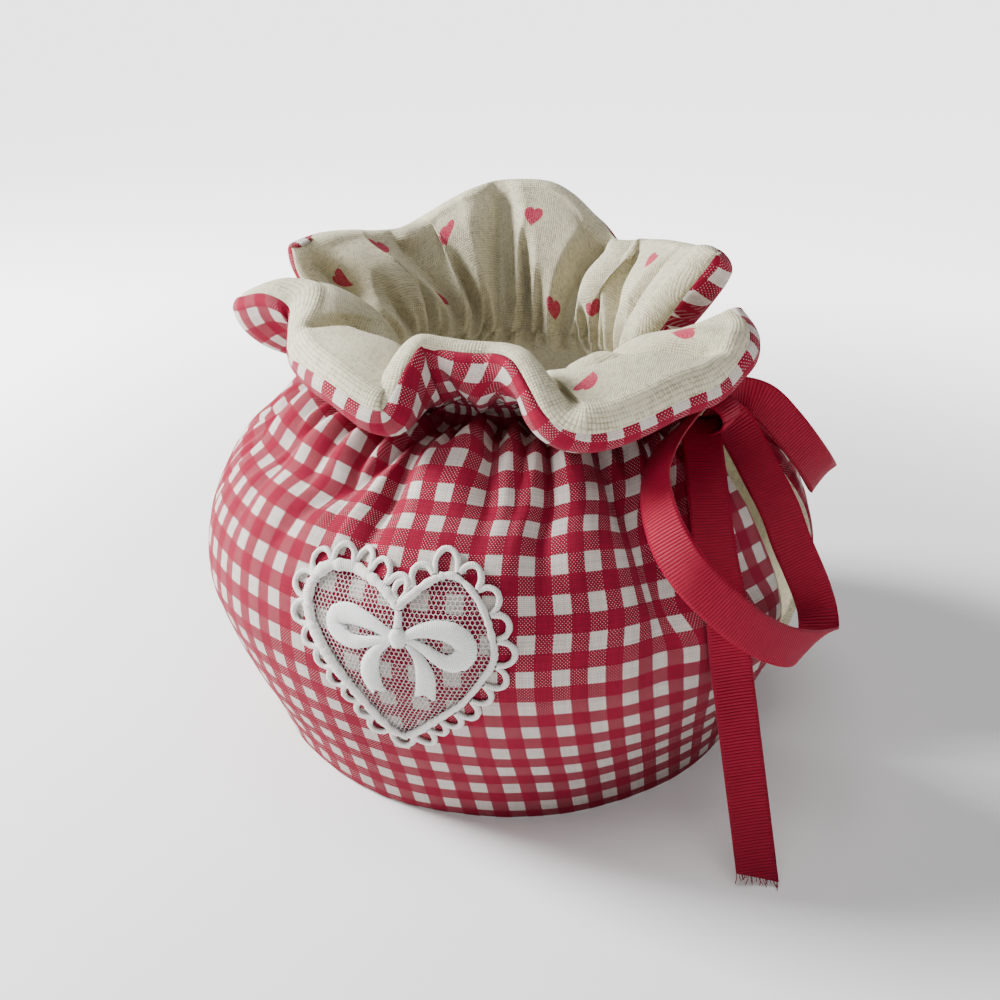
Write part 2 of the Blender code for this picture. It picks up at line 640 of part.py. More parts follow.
# ---------------------------------------------------------------- materials and assembly
def cloth_material(name, colour, roughness):
    """A plain Principled material for one cloth."""
    material = bpy.data.materials.new(name)
    material.use_nodes = True
    shader = material.node_tree.nodes["Principled BSDF"]
    shader.inputs["Base Color"].default_value = (*colour, 1.0)
    shader.inputs["Roughness"].default_value = roughness
    shader.inputs["Metallic"].default_value = 0.0
    return material


def clear_scene():
    """Remove whatever the start-up file holds."""
    for item in list(bpy.data.objects):
        bpy.data.objects.remove(item)


def build():
    """Model every piece and gather them in the cosy's collection."""
    clear_scene()
    gingham = cloth_material("gingham", (0.55, 0.06, 0.12), 0.85)
    linen = cloth_material("linen", (0.55, 0.52, 0.42), 0.9)
    lace = cloth_material("lace", (0.85, 0.84, 0.80), 0.8)
    ribbon = cloth_material("ribbon", (0.36, 0.01, 0.04), 0.5)
    pieces = [
        (gingham_panel("gingham_front", FRONT), gingham),
        (gingham_panel("gingham_back", BACK), gingham),
        (lining_panel("lining_front", FRONT, SPOUT_SLOT, HANDLE_SLOT), linen),
        (lining_panel("lining_back", BACK, HANDLE_SLOT, SPOUT_SLOT), linen),
        (lace_heart("lace_heart"), lace),
        (ribbon_bow("ribbon_bow"), ribbon),
    ]
    cosy = bpy.data.collections.new("tea_cosy")
    bpy.context.scene.collection.children.link(cosy)
    for piece, material in pieces:
        piece.data.materials.clear()
        piece.data.materials.append(material)
        cosy.objects.link(piece)


build()
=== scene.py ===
"""A gathered gingham tea cosy: padded cloths, a rolled linen hem, a lace heart and a bow.

Tables are in millimetres about the cosy's own upright axis, and meshes are written in metres.
A turn is in degrees from the front (-Y) towards the handle side (+X).  A level is a place up
the cloth: the length of cloth from the hem to the neck, and from there up to the ruffle's hem
a share of RUFFLE_LEVELS.  Across runs from 0 to 1 over a panel's width.
"""

import math

import bpy
import numpy as np
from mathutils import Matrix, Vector, noise


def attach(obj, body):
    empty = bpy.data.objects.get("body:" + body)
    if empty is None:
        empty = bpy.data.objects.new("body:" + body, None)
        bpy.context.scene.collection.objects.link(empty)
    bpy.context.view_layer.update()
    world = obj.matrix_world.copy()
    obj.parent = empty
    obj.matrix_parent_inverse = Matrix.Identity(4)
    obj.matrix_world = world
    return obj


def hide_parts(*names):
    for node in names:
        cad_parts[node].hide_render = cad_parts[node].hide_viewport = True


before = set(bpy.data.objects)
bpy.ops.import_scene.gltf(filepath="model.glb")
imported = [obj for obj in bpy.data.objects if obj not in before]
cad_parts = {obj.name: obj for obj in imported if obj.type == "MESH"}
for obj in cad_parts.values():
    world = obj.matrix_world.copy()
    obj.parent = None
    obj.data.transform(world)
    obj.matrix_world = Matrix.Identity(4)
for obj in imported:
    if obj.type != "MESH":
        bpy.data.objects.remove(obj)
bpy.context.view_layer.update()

MM = 0.001
AXIS = np.array((-5.85, 1.79, 0.0))

# ---------------------------------------------------------------- the cosy's sizes
SIDE = [  # radius, height
    (66.5, 0.0), (72.0, 15.4), (78.3, 30.2), (83.0, 45.0), (83.8, 55.0), (80.8, 67.0),
    (73.7, 77.5), (65.3, 84.2), (59.6, 89.8), (53.2, 94.2), (45.5, 95.8), (38.5, 95.7),
    (34.4, 97.4), (33.0, 101.0),
]
HANDLE_SLOT = [  # length, front edge's turn, back edge's turn
    (0, 86, 86), (27, 86, 86), (34, 81, 88), (44, 76, 91), (58, 73, 92), (75, 71, 93),
    (87, 72.5, 93), (99, 77, 94), (115, 83, 94), (128, 87.5, 92.5), (140, 88, 92),
]
SPOUT_SLOT = [  # length, front edge's turn, back edge's turn
    (0, -92, 268), (32, -92, 268), (40, -87, 264), (55, -81, 259), (75, -79, 257),
    (92, -81, 259), (110, -87, 267), (126, -89, 269.5), (140, -89, 269.5),
]
# Start and lean are the slopes with which the cloth leaves the neck and reaches the ruffle's
# hem: 0 is straight out from the axis and 90 straight up.
FRONT_RUFFLE = [  # turn, radius, height, start, lean
    (-82, 72.5, 118, 15, 92), (-75, 71.5, 120.5, 25, 88), (-69, 64, 124, 60, 78),
    (-63, 57.5, 122.5, 85, 70), (-56, 59, 117, 85, 50), (-49, 61, 113, 85, 30),
    (-38, 62, 111, 80, 20), (-27, 63, 110, 75, 20), (-13, 64, 107.5, 70, 40),
    (-9, 62, 108, 65, 60), (-8.5, 58, 112, 60, 80), (-9, 53, 118, 55, 90),
    (-7.5, 48, 122.5, 50, 100), (-2, 45.5, 122, 45, 105), (5, 45, 121.5, 45, 105),
    (12, 45, 121.5, 45, 105), (18, 47.5, 122, 50, 100), (22, 52, 121.5, 55, 90),
    (25, 58, 117, 60, 80), (28, 64, 110.5, 70, 60), (32.5, 68, 107.5, 75, 40),
    (40, 69, 107, 80, 25), (54, 70, 111, 80, 20), (63.5, 72, 113.5, 80, 25),
    (70, 72, 118, 74, 40), (79, 68.5, 121.5, 54, 46), (86, 62, 124.5, 42, 38),
]
BACK_RUFFLE = [  # turn, radius, height, start, lean
    (93, 54, 134.5, 68, 60), (97, 54, 136, 72, 66), (104, 52, 134.5, 85, 78),
    (120, 52.5, 131.5, 90, 75), (137, 52, 129.6, 90, 75), (149, 50, 128.7, 90, 75),
    (155, 45, 128.7, 90, 80), (168, 50, 133, 90, 80), (178, 51.5, 139, 90, 85),
    (186, 52, 142, 90, 85), (200, 51, 142.5, 90, 85), (207, 49, 142, 90, 85),
    (217, 51.5, 138, 90, 80), (231, 52, 132.3, 90, 80), (242, 48, 131.5, 90, 80),
    (251, 56, 131, 90, 75), (261, 61, 131.5, 55, 90), (270, 64, 129.5, 0, 108),
]
RUFFLE_LEVELS = 40.0              # levels from the neck to the ruffle's hem
COLUMNS, SIDE_ROWS, RUFFLE_ROWS = 260, 96, 34   # steps of one cloth's grid
NECK_SOFTENING = 5                # smoothing passes over the turn at the neck
NECK_REACH = 5                    # rows each way that they touch
EDGE_HALF_GAP = 0.15              # from a slot's edge to the panel's own edge
SLOT_OPEN = 4.0                   # a slot this many degrees wide has fully rounded edges
RUFFLE_SPREAD = 0.75              # how fast the ruffle widens above the neck, roughly
FOOT_LEVELLED = (1.0, 0.66, 0.33)  # how level the first rows' outward directions are made


class Curve:
    """A smooth curve through rows led by a place; level beside a level stretch."""

    def __init__(self, rows):
        table = np.array(rows, float)
        self.place, self.values = table[:, 0], table[:, 1:]
        before = np.vstack((self.values[:1], self.values[:-1]))
        after = np.vstack((self.values[1:], self.values[-1:]))
        run = np.append(self.place[1:], self.place[-1]) - np.append(self.place[0], self.place[:-1])
        self.slope = (after - before) / run[:, None]
        level = (self.values == before) | (self.values == after)
        level[0] = level[-1] = False
        self.slope[level] = 0.0

    def at(self, place):
        """The columns after the first, at one place or many: an array with them last."""
        place = np.clip(np.asarray(place, float), self.place[0], self.place[-1])
        index = np.clip(np.searchsorted(self.place, place, side="left") - 1,
                        0, len(self.place) - 2)
        span = (self.place[index + 1] - self.place[index])[..., None]
        part = (place - self.place[index])[..., None] / span
        return hermite(self.values[index], self.slope[index] * span,
                       self.values[index + 1], self.slope[index + 1] * span, part)


def hermite(start, start_slope, end, end_slope, part):
    """A cubic from start to end with the given slopes."""
    square, cube = part ** 2, part ** 3
    return (start * (2 * cube - 3 * square + 1) + start_slope * (cube - 2 * square + part)
            + end * (3 * square - 2 * cube) + end_slope * (cube - square))


def by_length(points, rows):
    """Rows led by the length walked along their points."""
    walked = np.append(0.0, np.cumsum(np.linalg.norm(np.diff(points, axis=0), axis=1)))
    return np.column_stack((walked, rows))


def around(turn, radius, height):
    """Points at turns from the front, distances from the axis and heights."""
    angle = np.radians(turn)
    return np.stack(np.broadcast_arrays(radius * np.sin(angle), -radius * np.cos(angle),
                                        height), axis=-1)


def unit(vectors):
    """Vectors of length one."""
    return vectors / np.maximum(np.linalg.norm(vectors, axis=-1, keepdims=True), 1e-9)


SIDE_CURVE = Curve(by_length(np.array(SIDE), np.array(SIDE)))
SIDE_LENGTH = SIDE_CURVE.place[-1]
TOP_LEVEL = SIDE_LENGTH + RUFFLE_LEVELS


class Panel:
    """The front or the back: the surface between its gingham and its linen."""

    def __init__(self, ruffle, first_slot, first_column, last_slot, last_column):
        table = np.array(ruffle, float)
        points = around(table[:, 0], table[:, 1], table[:, 2])
        self.hem = Curve(by_length(points, table))
        self.first = (Curve(first_slot), first_column, 1.0)
        self.last = (Curve(last_slot), last_column, -1.0)

    def edge(self, end, length):
        """The turn of one side edge at lengths up from the hem."""
        slot, column, inwards = self.last if end else self.first
        radius = SIDE_CURVE.at(length)[..., 0]
        return slot.at(length)[..., column] + inwards * np.degrees(EDGE_HALF_GAP / radius)

    def opening(self, end, level):
        """0 where the side seam is closed and 1 where the slot or the ruffle is open."""
        slot = (self.last if end else self.first)[0].at(np.minimum(level, SIDE_LENGTH))
        wide = (slot[..., 1] - slot[..., 0] + 180) % 360 - 180
        return np.where(level > SIDE_LENGTH, 1.0, np.clip(wide / SLOT_OPEN, 0, 1))

    def turn(self, across, length):
        """The turn of the cloth below the neck."""
        first = self.edge(0, length)
        return first + (self.edge(1, length) - first) * across

    def on_side(self, across, length):
        """Points between hem and neck."""
        profile = SIDE_CURVE.at(length)
        return around(self.turn(across, length), profile[..., 0], profile[..., 1])

    def on_ruffle(self, across, part):
        """Points between the neck, part 0, and the ruffle's hem, part 1."""
        turn, radius, height, start, lean = np.moveaxis(
            self.hem.at(across * self.hem.place[-1]), -1, 0)
        neck_turn = self.turn(across, SIDE_LENGTH)
        neck = around(neck_turn, *SIDE[-1])
        hem = around(turn, radius, height)
        reach = np.linalg.norm(hem - neck, axis=-1, keepdims=True)
        rise = around(neck_turn, np.cos(np.radians(start)), np.sin(np.radians(start)))
        fall = around(turn, np.cos(np.radians(lean)), np.sin(np.radians(lean)))
        return hermite(neck, rise * reach, hem, fall * reach, part[..., None])

    def reach(self, across):
        """The ruffle's length of cloth from the neck to its hem."""
        parts = [self.on_ruffle(across, np.full_like(across, i / 16)) for i in range(17)]
        return sum(np.linalg.norm(b - a, axis=-1) for a, b in zip(parts, parts[1:]))


FRONT = Panel(FRONT_RUFFLE, SPOUT_SLOT, 0, HANDLE_SLOT, 0)
BACK = Panel(BACK_RUFFLE, HANDLE_SLOT, 1, SPOUT_SLOT, 1)

# ---------------------------------------------------------------- folds of the cloth
# The puff is how far the cloth stands off between its creases, by level.
GINGHAM_PUFF = [(0, 1.5), (50, 1.8), (70, 3.0), (90, 4.6), (120, 5.6), (133, 3.6), (142, 3.8),
                (156, 4.4), (166, 4.4), (172.7, 3.6)]
LINEN_PUFF = [(0, 1.4), (100, 1.6), (124, 2.6), (133, 4.0), (142, 7.4), (151, 9.8), (160, 10.0),
              (167, 8.4), (172.7, 5.8)]
# Main creases: level, across, depth and half width in millimetres.
FRONT_OUT_CREASES = [
    [(62, 0.686, 0.0, 4), (84, 0.686, 1.8, 3.4), (110, 0.688, 3.4, 2.2), (130, 0.69, 3.0, 1.8)],
    [(40, 0.80, 0.0, 6), (60, 0.815, 2.0, 5), (84, 0.80, 2.8, 4), (106, 0.765, 3.4, 2.6),
     (130, 0.755, 3.0, 1.8)],
    [(70, 0.33, 0.0, 5), (88, 0.37, 2.2, 4), (106, 0.45, 3.4, 2.6), (130, 0.475, 3.0, 1.8)],
    [(54, 0.90, 0.0, 6), (76, 0.885, 2.0, 4), (104, 0.86, 3.2, 3), (130, 0.84, 3.0, 1.8)],
    [(78, 0.20, 0.0, 5), (96, 0.235, 2.2, 4), (114, 0.28, 3.2, 2.6), (132, 0.30, 3.0, 1.8)],
    [(70, 0.08, 0.0, 6), (92, 0.10, 2.0, 4), (114, 0.14, 3.2, 2.6), (132, 0.16, 3.0, 1.8)],
    [(134, 0.512, 2.8, 2.0), (158, 0.497, 2.4, 2.6), (172, 0.477, 0.8, 3)],
    [(134, 0.575, 2.6, 1.8), (150, 0.58, 1.6, 2.4), (162, 0.585, 0.0, 3)],
    [(134, 0.635, 2.6, 1.8), (152, 0.625, 2.0, 2.4), (166, 0.615, 0.0, 3)],
]
BACK_OUT_CREASES = [
    [(72, 0.25, 0.0, 5), (92, 0.26, 2.2, 4), (112, 0.29, 3.2, 2.6), (130, 0.30, 3.0, 1.8)],
    [(66, 0.55, 0.0, 5), (88, 0.55, 2.2, 4), (112, 0.53, 3.2, 2.6), (130, 0.52, 3.0, 1.8)],
    [(76, 0.80, 0.0, 5), (96, 0.79, 2.2, 4), (114, 0.76, 3.2, 2.6), (130, 0.75, 3.0, 1.8)],
    [(132, 0.38, 3.0, 2), (152, 0.37, 2.4, 4), (168, 0.36, 0.0, 5)],
    [(132, 0.65, 3.0, 2), (150, 0.64, 2.4, 4), (166, 0.63, 0.0, 5)],
]
FRONT_IN_CREASES = [
    [(132, 0.30, 3.2, 2.5), (143, 0.282, 4.4, 3.4), (148, 0.242, 4.8, 4.4),
     (153, 0.198, 4.6, 4.6), (161, 0.19, 3.6, 4.4), (169, 0.17, 1.0, 4)],
    [(130, 0.40, 3.0, 2.2), (150, 0.40, 2.0, 4), (162, 0.39, 0.0, 6)],
    [(131, 0.695, 3.0, 2.4), (142, 0.72, 4.4, 3.4), (148, 0.77, 4.8, 4.4), (151, 0.82, 4.6, 4.4),
     (157, 0.865, 4.0, 4), (164, 0.885, 2.6, 4), (170, 0.895, 0.6, 3)],
    [(130, 0.84, 3.0, 2.2), (150, 0.86, 2.4, 4), (164, 0.87, 0.0, 7)],
    [(130, 0.55, 3.0, 2.2), (146, 0.55, 1.2, 4), (156, 0.55, 0.0, 5)],
]
BACK_IN_CREASES = [
    [(130, 0.995, 3.0, 2.2), (145, 0.985, 3.6, 3), (152, 0.958, 4.0, 3.6),
     (160, 0.965, 3.6, 4), (170, 0.975, 1.2, 4)],
    [(130, 0.782, 3.0, 2.2), (140, 0.777, 3.8, 3.0), (148, 0.79, 4.8, 4.4),
     (156, 0.805, 5.0, 5.2), (163, 0.812, 4.6, 5.4), (171, 0.833, 2.0, 5)],
    [(130, 0.627, 3.0, 2.0), (140, 0.622, 4.0, 3.0), (150, 0.613, 4.6, 4.2),
     (164, 0.603, 4.2, 5.0), (171, 0.613, 2.4, 5)],
    [(130, 0.443, 3.0, 2.2), (136, 0.432, 3.8, 3.0), (144, 0.417, 4.8, 4.4),
     (153, 0.398, 5.0, 5.2), (164, 0.367, 4.6, 5.4), (171, 0.352, 2.4, 5)],
    [(130, 0.20, 3.0, 2), (140, 0.21, 3.4, 3), (150, 0.245, 3.0, 4), (161, 0.265, 1.8, 5),
     (170, 0.27, 0.0, 5)],
    [(132, 0.105, 3.0, 2), (144, 0.10, 3.8, 3.0), (158, 0.10, 3.8, 3.6), (170, 0.105, 1.5, 3)],
    [(130, 0.713, 3.0, 1.6), (140, 0.708, 3.2, 2.2), (150, 0.723, 2.2, 3.4),
     (156, 0.73, 0.0, 4)],
    [(130, 0.862, 3.0, 1.6), (141, 0.863, 3.0, 2.2), (153, 0.828, 2.2, 3), (160, 0.82, 0.0, 4)],
    [(130, 0.925, 3.0, 1.6), (138, 0.922, 3.0, 2.0), (147, 0.917, 2.0, 2.6),
     (153, 0.91, 0.0, 3)],
    [(130, 0.55, 3.0, 1.6), (142, 0.552, 3.0, 2.0), (151, 0.557, 2.0, 2.6), (157, 0.56, 0.0, 3)],
    [(130, 0.36, 3.0, 1.6), (138, 0.35, 2.8, 2.0), (146, 0.345, 0.0, 3)],
    [(130, 0.31, 3.0, 1.6), (138, 0.30, 2.6, 2.0), (147, 0.29, 0.0, 3)],
]
CREASE_ROUND = 0.3                # how far a crease's bottom is rounded
CREASE_REACH = 2.6                # how far a main crease reaches, in its half widths
CREASE_SHARP = 2.0                # how steeply the cloth falls into a crease
CREASE_MEET = 4.0                 # how sharply the deeper of two creases wins
CREASE_STEPS = 3                  # straight steps between two rows of a crease
SWALLOW_FROM, SWALLOW_MOST = 0.6, 4.0   # share of the puff, and most cloth hidden in a crease
GATHERED_ABOVE = 48               # the widest row, drawn in above it, is looked for from here
RUFFLE_SLACK, MOST_SLACK = 0.8, 1.5     # how far a row's cloth may be drawn out or pushed up
RIPPLES = [  # wavelength, height of the cloth's small unevenness
    (34.0, 0.8), (15.0, 0.3), (6.5, 0.08),
]
GATHERS_OUT = {"count": 16, "foot": 84, "foot_spread": 30, "top": 147, "deep": 5.4, "reach": 0.62,
               "lower": 44, "drift": 0.03}
GATHERS_IN = {"count": 17, "foot": 112, "foot_spread": 16, "top": 147, "deep": 4.2, "reach": 0.60,
              "lower": 0, "drift": 0.02}
NECK_FOOT = 112                   # level where the gathers near the neck are nearly full
NECK_STEPS = [(116, 1.0, 0.0), (132, 1.0, 0.0), (138, 0.8, 0.0)]   # level, depth, lean
NARROW_IN = 0.62                  # how much narrower the linen's main creases are
DEEPEN_OUT, DEEPEN_IN = 1.4, 2.35  # how much deeper the main creases are than their rows say


def deepened(creases, share, narrowed=1.0):
    """Creases with their depths and their widths multiplied."""
    return [[(level, across, deep * share, wide * narrowed) for level, across, deep, wide in rows]
            for rows in creases]


def chance(index, row):
    """A fixed uneven number from about -0.5 to 0.5."""
    return noise.noise((index * 3.71 + 0.3, row * 5.13 + 0.7, 0.37))


def about_round(level):
    """Roughly how wide a panel's cloth lies at a level."""
    past = np.maximum(np.asarray(level, float) - SIDE_LENGTH, 0)
    return math.pi * (SIDE_CURVE.at(np.minimum(level, SIDE_LENGTH))[..., 0]
                      + RUFFLE_SPREAD * past)


def gathers(plan, phase):
    """Creases side by side where the cloth is drawn in, each with its own reach and depth."""
    creases = []
    for i in range(plan["count"]):
        pick = [chance(i + phase * 17, k) for k in range(5)]
        across = (i + 0.5 + 0.7 * pick[0]) / plan["count"]
        foot = plan["foot"] + plan["foot_spread"] * pick[1] - plan["lower"] * max(0.5 - across, 0)
        deep = plan["deep"] * (1 + 0.5 * pick[3])
        lean = plan["drift"] * pick[4]
        top = plan["top"] + 12 * pick[2]
        steps = [(foot, 0.0, 1.0), (foot + 12, 0.28, 0.8), ((foot + NECK_FOOT) / 2 + 6, 0.62, 0.4),
                 *NECK_STEPS, (top, 0.0, 0.0)]
        creases.append([(level, across + lean * aside, deep * share,
                         plan["reach"] / CREASE_REACH * float(about_round(level)) / plan["count"])
                        for level, share, aside in steps])
    return creases


def crease_field(creases, across, level, row_length):
    """How deep the creases are over the cloth, in millimetres."""
    hollow = np.zeros_like(across)
    row_level = level.mean(1)
    for rows in creases:
        table = np.array(rows, float)
        route = Curve(np.column_stack((np.arange(len(table)), table)))
        route = route.at(np.arange(0, len(table) - 1 + 1e-6, 1 / CREASE_STEPS))
        reach = CREASE_REACH * route[:, 3].max()
        first, last = np.searchsorted(row_level, (route[:, 0].min() - reach,
                                                  route[:, 0].max() + reach))
        here, there = np.s_[first:last], row_length[first:last]
        deepest = np.zeros_like(across[here])
        for start, end in zip(route, route[1:]):
            x, y = (across[here] - start[1]) * there, level[here] - start[0]
            dx, dy = (end[1] - start[1]) * there, end[0] - start[0]
            part = np.clip((x * dx + y * dy) / np.maximum(dx * dx + dy * dy, 1e-6), 0, 1)
            away = np.hypot(x - dx * part, y - dy * part)
            away = np.sqrt(away ** 2 + CREASE_ROUND ** 2) - CREASE_ROUND
            deep = start[2] + (end[2] - start[2]) * part
            wide = start[3] + (end[3] - start[3]) * part
            near = np.clip(1 - away / (CREASE_REACH * np.maximum(wide, 0.3)), 0, 1)
            deepest = np.maximum(deepest, np.maximum(deep, 0.0) * near ** CREASE_SHARP)
        hollow[here] += deepest ** CREASE_MEET
    return hollow ** (1 / CREASE_MEET)


def ripple_field(points, phase):
    """Small soft unevenness of the cloth."""
    height = np.zeros(points.shape[:-1])
    flat = points.reshape(-1, 3)
    for size, rise in RIPPLES:
        values = [noise.noise(Vector(p / size) + Vector((phase, 0, size))) for p in flat]
        height += rise * np.array(values).reshape(height.shape)
    return height


# ---------------------------------------------------------------- one cloth of a panel
LINEN_FOOT = 1.2                  # the linen stops this far above the gingham's hem
NOSE = 3.8                        # reach of the padded edge's rounding
NOSE_QUARTER = 5.8                # cloth from the flat to the tip of the edge
NOSE_STEPS = 10                   # rows or columns round the edge
NOSE_FAR = 3.6                    # height of the rounding on the other cloth's side
SEAM_GROOVE, SEAM_WIDE = 0.12, 0.32
SEAM_TUCK = 0.55
SEAM_UNDER = 0.7                  # how far each cloth runs on under the other at the seam
SEAM_DIP = 1.0                    # how far the cloths dip at a closed side seam
CLOTH_THICK = 0.4
LEAST_RISE, RISE_EASE = 0.35, 0.5
EDGE_SWELL_OUT, EDGE_SWELL_IN, EDGE_SWELL_WIDE = 0.45, -0.30, 9.0
SWELL_FROM = 4                    # levels above the neck where the edges start to swell
RUFFLE_START = 12                 # levels over which the ruffle's own fullness comes in
THREAD_SOFTENING = 4              # smoothing passes over the gathered threads' places
HEM_EVENED = 0.35                 # share of the ruffle in which its lengths are made even
# Across, how far the linen shows past the hem's tip on the gingham's side, and how full the
# linen's padding is above the neck.
FRONT_HEM = [(0, 1.5, 0.9), (0.12, 2.2, 1), (0.19, 1.0, 1), (0.26, -1.2, 1), (0.40, -1.0, 0.9),
             (0.45, 1.5, 0.6), (0.50, 3.6, 0.42), (0.58, 3.6, 0.42), (0.64, 2.4, 0.6),
             (0.70, -0.2, 0.9), (0.85, -0.8, 1), (0.95, -1.6, 0.9), (1, -1.5, 0.8)]
BACK_HEM = [(0, 0, 0.9), (0.1, -0.6, 1), (0.3, 0.6, 1), (0.8, 0.6, 1), (1, -1.0, 0.9)]
SIDE_EDGE_SEAM = [(0, 2.2), (118, 2.2), (134, 0.0), (173, 0.0)]


def round_edge(plan_end):
    """Steps round a padded edge: reach past the flat, share of the height, and dip.

    A place on it is the cloth from the tip, above 0 on the cloth's own side; plan_end is
    where the cloth ends.  The last step is tucked in at the seam.
    """
    plan_end = np.asarray(plan_end, float)
    steps = []
    for k in range(1, NOSE_STEPS + 2):
        place = NOSE_QUARTER + (plan_end - NOSE_QUARTER) * min(k / NOSE_STEPS, 1)
        tucked = k > NOSE_STEPS
        place = place - SEAM_UNDER * tucked
        angle = np.radians(90 * np.clip(place / NOSE_QUARTER, -1, 1))
        groove = SEAM_GROOVE * np.exp(-((place - plan_end) / SEAM_WIDE) ** 2) + SEAM_TUCK * tucked
        past = np.minimum(place + NOSE_QUARTER, 0)
        steps.append(((NOSE - groove) * np.cos(angle) + past, np.sin(angle), groove,
                      NOSE_QUARTER - place))
    return [np.array(column) for column in zip(*steps)]


class Cloth:
    """The gingham or the linen of a panel as a grid of points, [row][column]."""

    def __init__(self, panel, side, puff, other_puff, creases, phase, hem, foot=0.0):
        self.panel, self.side = panel, side
        self.lay_middle(foot)
        row_length = np.linalg.norm(np.diff(self.middle, axis=1), axis=-1).sum(1)[:, None]
        hollow = crease_field(creases, self.across, self.level, row_length)
        puffed = Curve(puff).at(self.level)[..., 0]
        if side < 0:
            full = Curve(hem).at(self.across)[..., 1]
            raised = np.clip((self.level - SIDE_LENGTH) / RUFFLE_START, 0, 1)
            share = 1 + (full - 1) * raised
            hollow, puffed = hollow * share, puffed * share
        rise = self.soft_floor(puffed - hollow) + ripple_field(self.middle, phase)
        self.rise = np.maximum(rise, LEAST_RISE) * self.edge_swell(row_length)
        self.points = self.middle + self.out * (side * self.rise)[..., None]
        self.u = self.cloth_across(np.clip(hollow / puffed, 0, 1))
        self.v = self.cloth_up()
        full = Curve(hem).at(self.across[-1])[..., 1] if side > 0 else 1.0
        self.far = (Curve(other_puff).at(TOP_LEVEL)[0] * full
                    * self.edge_swell(row_length)[-1])
        self.add_edges(hem)

    def lay_middle(self, foot):
        """The surface between the two cloths, its levels and its outward directions."""
        panel = self.panel
        shares = np.linspace(0, 1, COLUMNS + 1)[None, :]
        side_levels = np.linspace(foot, SIDE_LENGTH, SIDE_ROWS + 1)
        parts = np.linspace(0, 1, RUFFLE_ROWS + 1)[1:]
        levels = np.append(side_levels, SIDE_LENGTH + parts * RUFFLE_LEVELS)[:, None]
        self.open = [panel.opening(end, levels[:, 0]) for end in (0, 1)]
        width = np.array([self.row_width(min(level, SIDE_LENGTH)) for level in levels[:, 0]])
        width[SIDE_ROWS + 1:] *= np.linspace(1, 2, RUFFLE_ROWS)
        start, stop = (NOSE * is_open / width for is_open in self.open)
        self.across = start[:, None] + (1 - start - stop)[:, None] * shares
        margin = NOSE / panel.reach(self.across[-1])[None, :]
        part = np.clip((levels - SIDE_LENGTH) / RUFFLE_LEVELS, 0, 1) * (1 - margin)
        on_side = panel.on_side(self.across, np.minimum(levels, SIDE_LENGTH))
        middle = np.where((levels > SIDE_LENGTH)[..., None],
                          panel.on_ruffle(self.across, part), on_side)
        self.middle = self.soften_neck(middle)
        self.level = np.where(levels > SIDE_LENGTH, SIDE_LENGTH + part * RUFFLE_LEVELS,
                              levels + 0 * shares)
        self.out = self.outward()

    def row_width(self, level):
        """Length of the cloth round a level below the neck."""
        turns = self.panel.edge(1, level) - self.panel.edge(0, level)
        return float(np.radians(turns) * SIDE_CURVE.at(level)[..., 0])

    @staticmethod
    def soften_neck(middle):
        """Round the turn of the cloth at the neck."""
        for _ in range(NECK_SOFTENING):
            for k in range(SIDE_ROWS - NECK_REACH, SIDE_ROWS + NECK_REACH + 1):
                middle[k] = (middle[k - 1] + 2 * middle[k] + middle[k + 1]) / 4
        return middle

    def outward(self):
        """The surface's directions out of the cosy; level at the bottom hem."""
        out = unit(np.cross(np.gradient(self.middle, axis=1), np.gradient(self.middle, axis=0)))
        for k, share in enumerate(FOOT_LEVELLED):
            level = unit(out[k] * (1, 1, 0))
            out[k] = unit(out[k] + (level - out[k]) * share)
        return out

    @staticmethod
    def soft_floor(rise):
        """The rise, eased so that it never falls under the least."""
        over = rise - LEAST_RISE
        return LEAST_RISE + (over + np.sqrt(over ** 2 + RISE_EASE ** 2)) / 2

    def edge_swell(self, row_length):
        """The padding is thicker outside along the ruffle's side edges, and thinner inside."""
        from_edge = np.minimum(self.across, 1 - self.across) * row_length
        ruffle = np.clip((self.level - SIDE_LENGTH - SWELL_FROM) / RUFFLE_START, 0, 1)
        swell = EDGE_SWELL_OUT if self.side > 0 else EDGE_SWELL_IN
        return 1 + swell * ruffle * np.exp(-(from_edge / EDGE_SWELL_WIDE) ** 2)

    def cloth_across(self, hollow):
        """Each point's place across the flat cloth: the creases swallow what is gathered."""
        shown = np.linalg.norm(np.diff(self.points, axis=1), axis=-1)
        deep = np.clip((hollow[:, 1:] + hollow[:, :-1]) / 2 - SWALLOW_FROM, 0, 1)
        length = np.linalg.norm(np.diff(self.middle, axis=1), axis=-1).sum(1)
        first = int(np.searchsorted(self.level[:, 0], GATHERED_ABOVE))
        belly = first + int(np.argmax(length[first:SIDE_ROWS]))
        above = np.arange(len(length)) > belly
        whole = np.where(above, length[belly], length)
        hidden = np.clip((whole - shown.sum(1)) / np.maximum((shown * deep).sum(1), 1),
                         0, SWALLOW_MOST)
        steps = shown * (1 + hidden[:, None] * deep)
        least = np.where(self.level[:, 0] > SIDE_LENGTH, RUFFLE_SLACK, 1.0)
        left = np.clip(whole / steps.sum(1), least, MOST_SLACK)
        walked = np.cumsum(steps * left[:, None], axis=1)
        walked = np.hstack((np.zeros((len(walked), 1)), walked))
        turn = self.panel.turn(self.across, np.minimum(self.level, SIDE_LENGTH))
        upright = turn[belly, COLUMNS // 2]
        start = [np.interp(upright, turns, places) for turns, places in zip(turn, walked)]
        walked -= np.array(start)[:, None]
        for _ in range(THREAD_SOFTENING):
            walked[belly:-1] = (walked[belly - 1:-2] + 2 * walked[belly:-1]
                                + walked[belly + 1:]) / 4
        return walked

